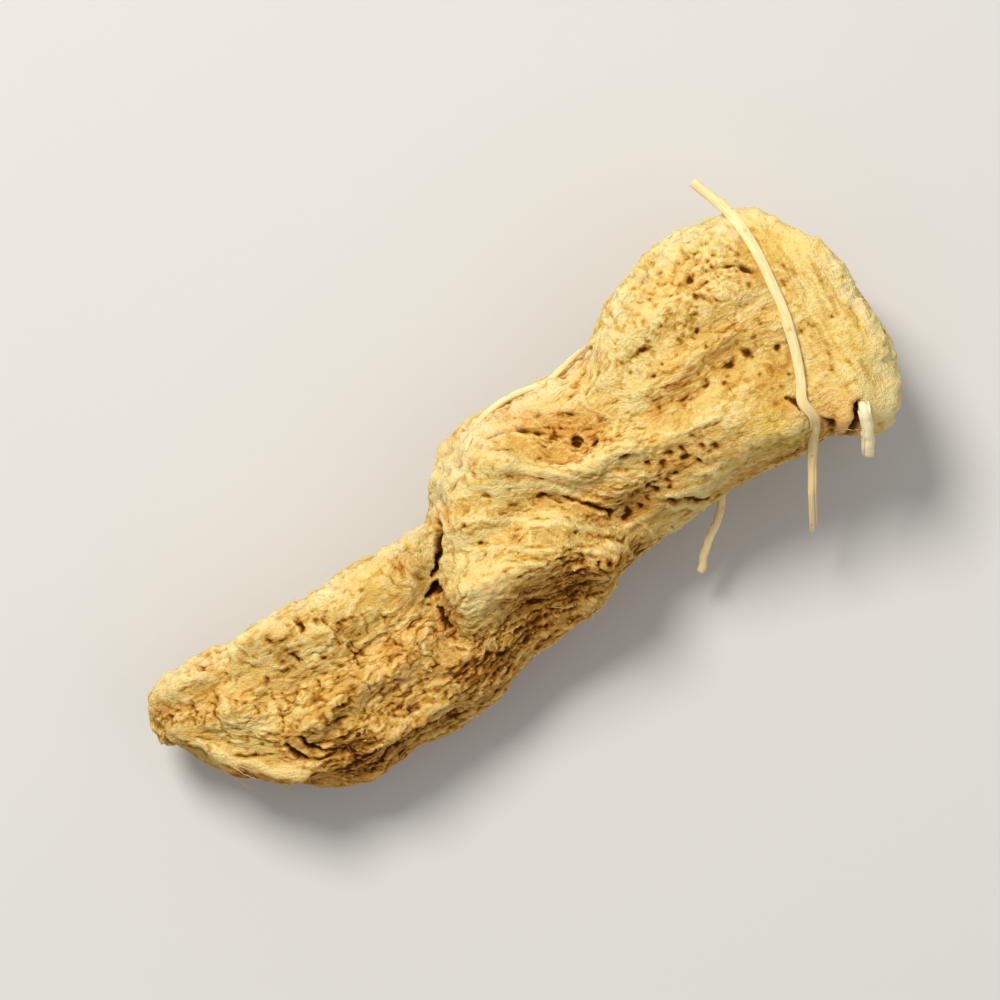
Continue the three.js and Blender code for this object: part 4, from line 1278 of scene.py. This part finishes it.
def make_fibres():
    """The loose fibres, each a strand with one or three thinner ones beside it."""
    surface = BVHTree.FromObject(body, bpy.context.evaluated_depsgraph_get())
    straw, pale = fibre_material("loose_fibre", 0.1), fibre_material("pale_fibre", 0.6)
    made = []
    for k, (name, (radius, flatness, ends, route)) in enumerate(FIBRES.items()):
        chance = np.random.default_rng(50 + k)
        line = fibre_line(surface, route, radius)
        share = np.linspace(0, 1, len(line))
        wander = [noise(np.c_[share * 9, np.full((len(line), 2), k + s)]) for s in (2.0, 9.0, 15.0)]
        line = line + np.stack(wander, axis=1) * [0.025, 0.025, 0.01]
        taper = np.minimum(1, np.minimum(ends[0] + 3 * share, ends[1] + 1.4 * (1 - share)))
        radii = radius * taper * (1 + 0.16 * noise(np.c_[share * 14, np.full((len(line), 2), 3.0 + k)]))
        parts = [tube(line, radii, 14, flatness, chance)]
        for _ in range(3 if radius > 0.1 else 1):
            parts.append(thin_fibre(line, share, radius, chance))
        made.append(mesh_piece(name, parts, pale if name == "torn_stub" else straw))
    return made


fibres = make_fibres()


def scatter_tree():
    """Geometry nodes that strew copies of one small thing over the skin, turned to its normal and its grain,
    and as close together as its fuzz says."""
    tree = bpy.data.node_groups.new("strew_over_root", "GeometryNodeTree")
    sockets = tree.interface
    for label, kind in (
        ("Ground", "NodeSocketGeometry"), ("Thing", "NodeSocketObject"), ("Material", "NodeSocketMaterial"),
        ("Density", NUMBER), ("Seed", "NodeSocketInt"), ("Smallest", NUMBER), ("Largest", NUMBER),
        ("Least Turn", VECTOR), ("Most Turn", VECTOR),
    ):
        sockets.new_socket(name=label, in_out="INPUT", socket_type=kind)
    sockets.new_socket(name="Strewn", in_out="OUTPUT", socket_type="NodeSocketGeometry")
    into, out = tree.nodes.new("NodeGroupInput").outputs, tree.nodes.new("NodeGroupOutput").inputs
    link = tree.links.new

    share = put(tree, "GeometryNodeInputNamedAttribute", data_type="FLOAT", in_Name="fuzz")
    points = put(tree, "GeometryNodeDistributePointsOnFaces", distribute_method="RANDOM")
    link(into["Ground"], points.inputs["Mesh"])
    link(math_node(tree, "MULTIPLY", share.outputs[0], into["Density"]), points.inputs["Density"])
    link(into["Seed"], points.inputs["Seed"])
    way = put(tree, "GeometryNodeInputNamedAttribute", data_type="FLOAT_VECTOR", in_Name="grain_way")
    along = put(tree, "FunctionNodeAlignRotationToVector", axis="X")
    link(way.outputs[0], along.inputs["Vector"])
    upright = put(tree, "FunctionNodeAlignRotationToVector", axis="Z", pivot_axis="X")
    link(along.outputs[0], upright.inputs["Rotation"])
    link(points.outputs["Normal"], upright.inputs["Vector"])
    turn = put(tree, "FunctionNodeRandomValue", data_type="FLOAT_VECTOR")
    link(into["Least Turn"], turn.inputs["Min"])
    link(into["Most Turn"], turn.inputs["Max"])
    link(into["Seed"], turn.inputs["Seed"])
    turned = put(tree, "FunctionNodeRotateRotation", rotation_space="LOCAL")
    link(upright.outputs[0], turned.inputs["Rotation"])
    link(turn.outputs["Value"], turned.inputs["Rotate By"])
    size = put(tree, "FunctionNodeRandomValue", data_type="FLOAT")
    link(into["Smallest"], size.inputs[2])
    link(into["Largest"], size.inputs[3])
    link(math_node(tree, "ADD", into["Seed"], 7), size.inputs["Seed"])
    thing = put(tree, "GeometryNodeObjectInfo")
    link(into["Thing"], thing.inputs["Object"])
    strewn = put(tree, "GeometryNodeInstanceOnPoints")
    link(points.outputs["Points"], strewn.inputs["Points"])
    link(thing.outputs["Geometry"], strewn.inputs["Instance"])
    link(turned.outputs[0], strewn.inputs["Rotation"])
    link(size.outputs[1], strewn.inputs["Scale"])
    real = tree.nodes.new("GeometryNodeRealizeInstances")
    link(strewn.outputs[0], real.inputs[0])
    coloured = tree.nodes.new("GeometryNodeSetMaterial")
    link(real.outputs[0], coloured.inputs[0])
    link(into["Material"], coloured.inputs["Material"])
    link(coloured.outputs[0], out["Strewn"])
    return tree


STREW = scatter_tree()


def strew(name, parts, material, **values):
    """Strews copies of the parts over the body and returns them as one plain mesh piece."""
    thing = mesh_piece(name + "_one", parts, material)
    piece = add_object(name, body.data)
    modifier = piece.modifiers.new("strew", "NODES")
    modifier.node_group = STREW
    given = {key.replace("_", " "): value for key, value in values.items()}
    given |= {"Thing": thing, "Material": material}
    for socket in STREW.interface.items_tree:
        if socket.in_out == "INPUT" and socket.name in given:
            modifier[socket.identifier] = given[socket.name]
    bpy.context.view_layer.update()
    mesh = bpy.data.meshes.new_from_object(piece.evaluated_get(bpy.context.evaluated_depsgraph_get()))
    piece.modifiers.clear()
    piece.data = mesh
    for left in (*FACTS, "fuzz", "grain_way"):
        if left in mesh.attributes:
            mesh.attributes.remove(mesh.attributes[left])
    bpy.data.objects.remove(thing)
    return piece


def hair(length, radius, bow, seed):
    """One short hair that starts in the surface and bows away along x."""
    chance = np.random.default_rng(seed)
    t = np.linspace(0, 1, 7)
    aside = bow * length * t**2 + 0.02 * chance.normal(size=7)
    up = 0.012 + 0.12 * length * np.sin(2.6 * t) * t - 0.03 * (t == 0)
    line = np.stack([length * t, aside, up], axis=1)
    return tube(line, radius * (1 - 0.75 * t), 3, 1.0, chance, 0.0)


def crumb(size, seed):
    """One angular crumb of dry flesh."""
    chance = np.random.default_rng(seed)
    ways = np.array([[1, 0, 0], [-1, 0, 0], [0, 1, 0], [0, -1, 0], [0, 0, 1], [0, 0, -1]], float)
    places = ways * size * chance.uniform(0.5, 1.0, (6, 1)) * [1.3, 0.9, 0.55]
    places += chance.normal(0, 0.1 * size, (6, 3))
    faces = [[0, 2, 4], [2, 1, 4], [1, 3, 4], [3, 0, 4], [2, 0, 5], [1, 2, 5], [3, 1, 5], [0, 3, 5]]
    return places, faces, places.copy()


def make_litter():
    """Short fuzz and a few crumbs; the densities are in pieces a square metre."""
    pale = fibre_material("fuzz_fibre", 0.25)
    crumbs = fibre_material("crumb", 0.0)
    lying = {"Least_Turn": (-0.2, -0.12, -0.35), "Most_Turn": (0.2, 0.06, 0.35)}
    loose = {"Least_Turn": (-1, -0.7, -3), "Most_Turn": (1, 0.1, 3)}
    return [
        strew(name, [thing], material, Density=density, Seed=seed, Smallest=small, Largest=large, **turns)
        for name, thing, material, density, seed, small, large, turns in (
            ("fuzz_long", hair(0.7, 0.011, 0.12, 1), pale, 4.0e6, 3, 0.3, 1.0, lying),
            ("fuzz_bent", hair(0.4, 0.01, -0.5, 2), pale, 5.0e6, 5, 0.3, 0.8, loose),
            ("crumbs", crumb(0.07, 3), crumbs, 12e6, 8, 0.25, 1.0, loose),
        )
    ]


litter = make_litter()

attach(body, "root")
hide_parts("ginger_root")
for piece in fibres + litter:
    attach(piece, "root")

# The studio, in metres, but the lens and the sensor in millimetres.
FLOOR_HALF = 1.0
CAMERA_HEIGHT = 0.108
LENS = 180
SENSOR = 36
ROOM_LIGHT = 0.46
LIT_PLACE = Vector((0, 0, 0.002))  # the middle of the piece


def make_floor():
    """The plain pale ground that the piece lies on in the render."""
    mesh = bpy.data.meshes.new("floor")
    corners = [(x * FLOOR_HALF, y * FLOOR_HALF, 0) for x, y in ((-1, -1), (1, -1), (1, 1), (-1, 1))]
    mesh.from_pydata(corners, [], [(0, 1, 2, 3)])
    floor = add_object("floor", mesh)
    material, _, shader = new_material("pale_floor")
    shader.inputs["Base Color"].default_value = (0.575, 0.57, 0.56, 1)
    shader.inputs["Roughness"].default_value = 0.9
    mesh.materials.append(material)


def picture_way(right, up, out):
    """A direction given as it looks in the photograph: to the right, up, and out towards the camera."""
    c, s = math.cos(PHOTO_TURN), math.sin(PHOTO_TURN)
    return Vector((c * right + s * up, -s * right + c * up, out)).normalized()


def add_light(name, way, distance, size, power, colour):
    """A round soft light that faces the middle of the piece from this way; metres and watts."""
    light = bpy.data.lights.new(name, "AREA")
    light.shape = "DISK"
    light.size = size
    light.energy = power
    light.color = colour
    lamp = add_object(name, light)
    lamp.location = way * distance + LIT_PLACE
    lamp.rotation_euler = way.to_track_quat("Z", "Y").to_euler()


def make_room():
    """The soft light from all round."""
    world = bpy.data.worlds.new("soft_room")
    bpy.context.scene.world = world
    world.use_nodes = True
    room = world.node_tree.nodes["Background"].inputs
    room["Color"].default_value = (1.0, 0.98, 0.95, 1)
    room["Strength"].default_value = ROOM_LIGHT


def add_camera():
    """The camera looks straight down on the piece, turned as the piece lies in the photograph."""
    camera = bpy.data.cameras.new("camera")
    camera.lens = LENS
    camera.sensor_width = SENSOR
    camera.clip_start = 0.01
    camera.clip_end = 5
    eye = add_object("camera", camera)
    eye.location = (0, 0, CAMERA_HEIGHT)
    eye.rotation_euler = (0, 0, -PHOTO_TURN)
    bpy.context.scene.camera = eye


make_floor()
make_room()
key_way, fill_way = picture_way(-0.5, 0.72, 1.2), picture_way(0.9, -0.2, 1.2)
add_light("key", key_way, distance=0.16, size=0.06, power=0.27, colour=(1.0, 0.965, 0.9))
add_light("fill", fill_way, distance=0.2, size=0.16, power=0.04, colour=(0.97, 0.98, 1.0))
add_camera()
bpy.context.scene.view_settings.view_transform = "Standard"
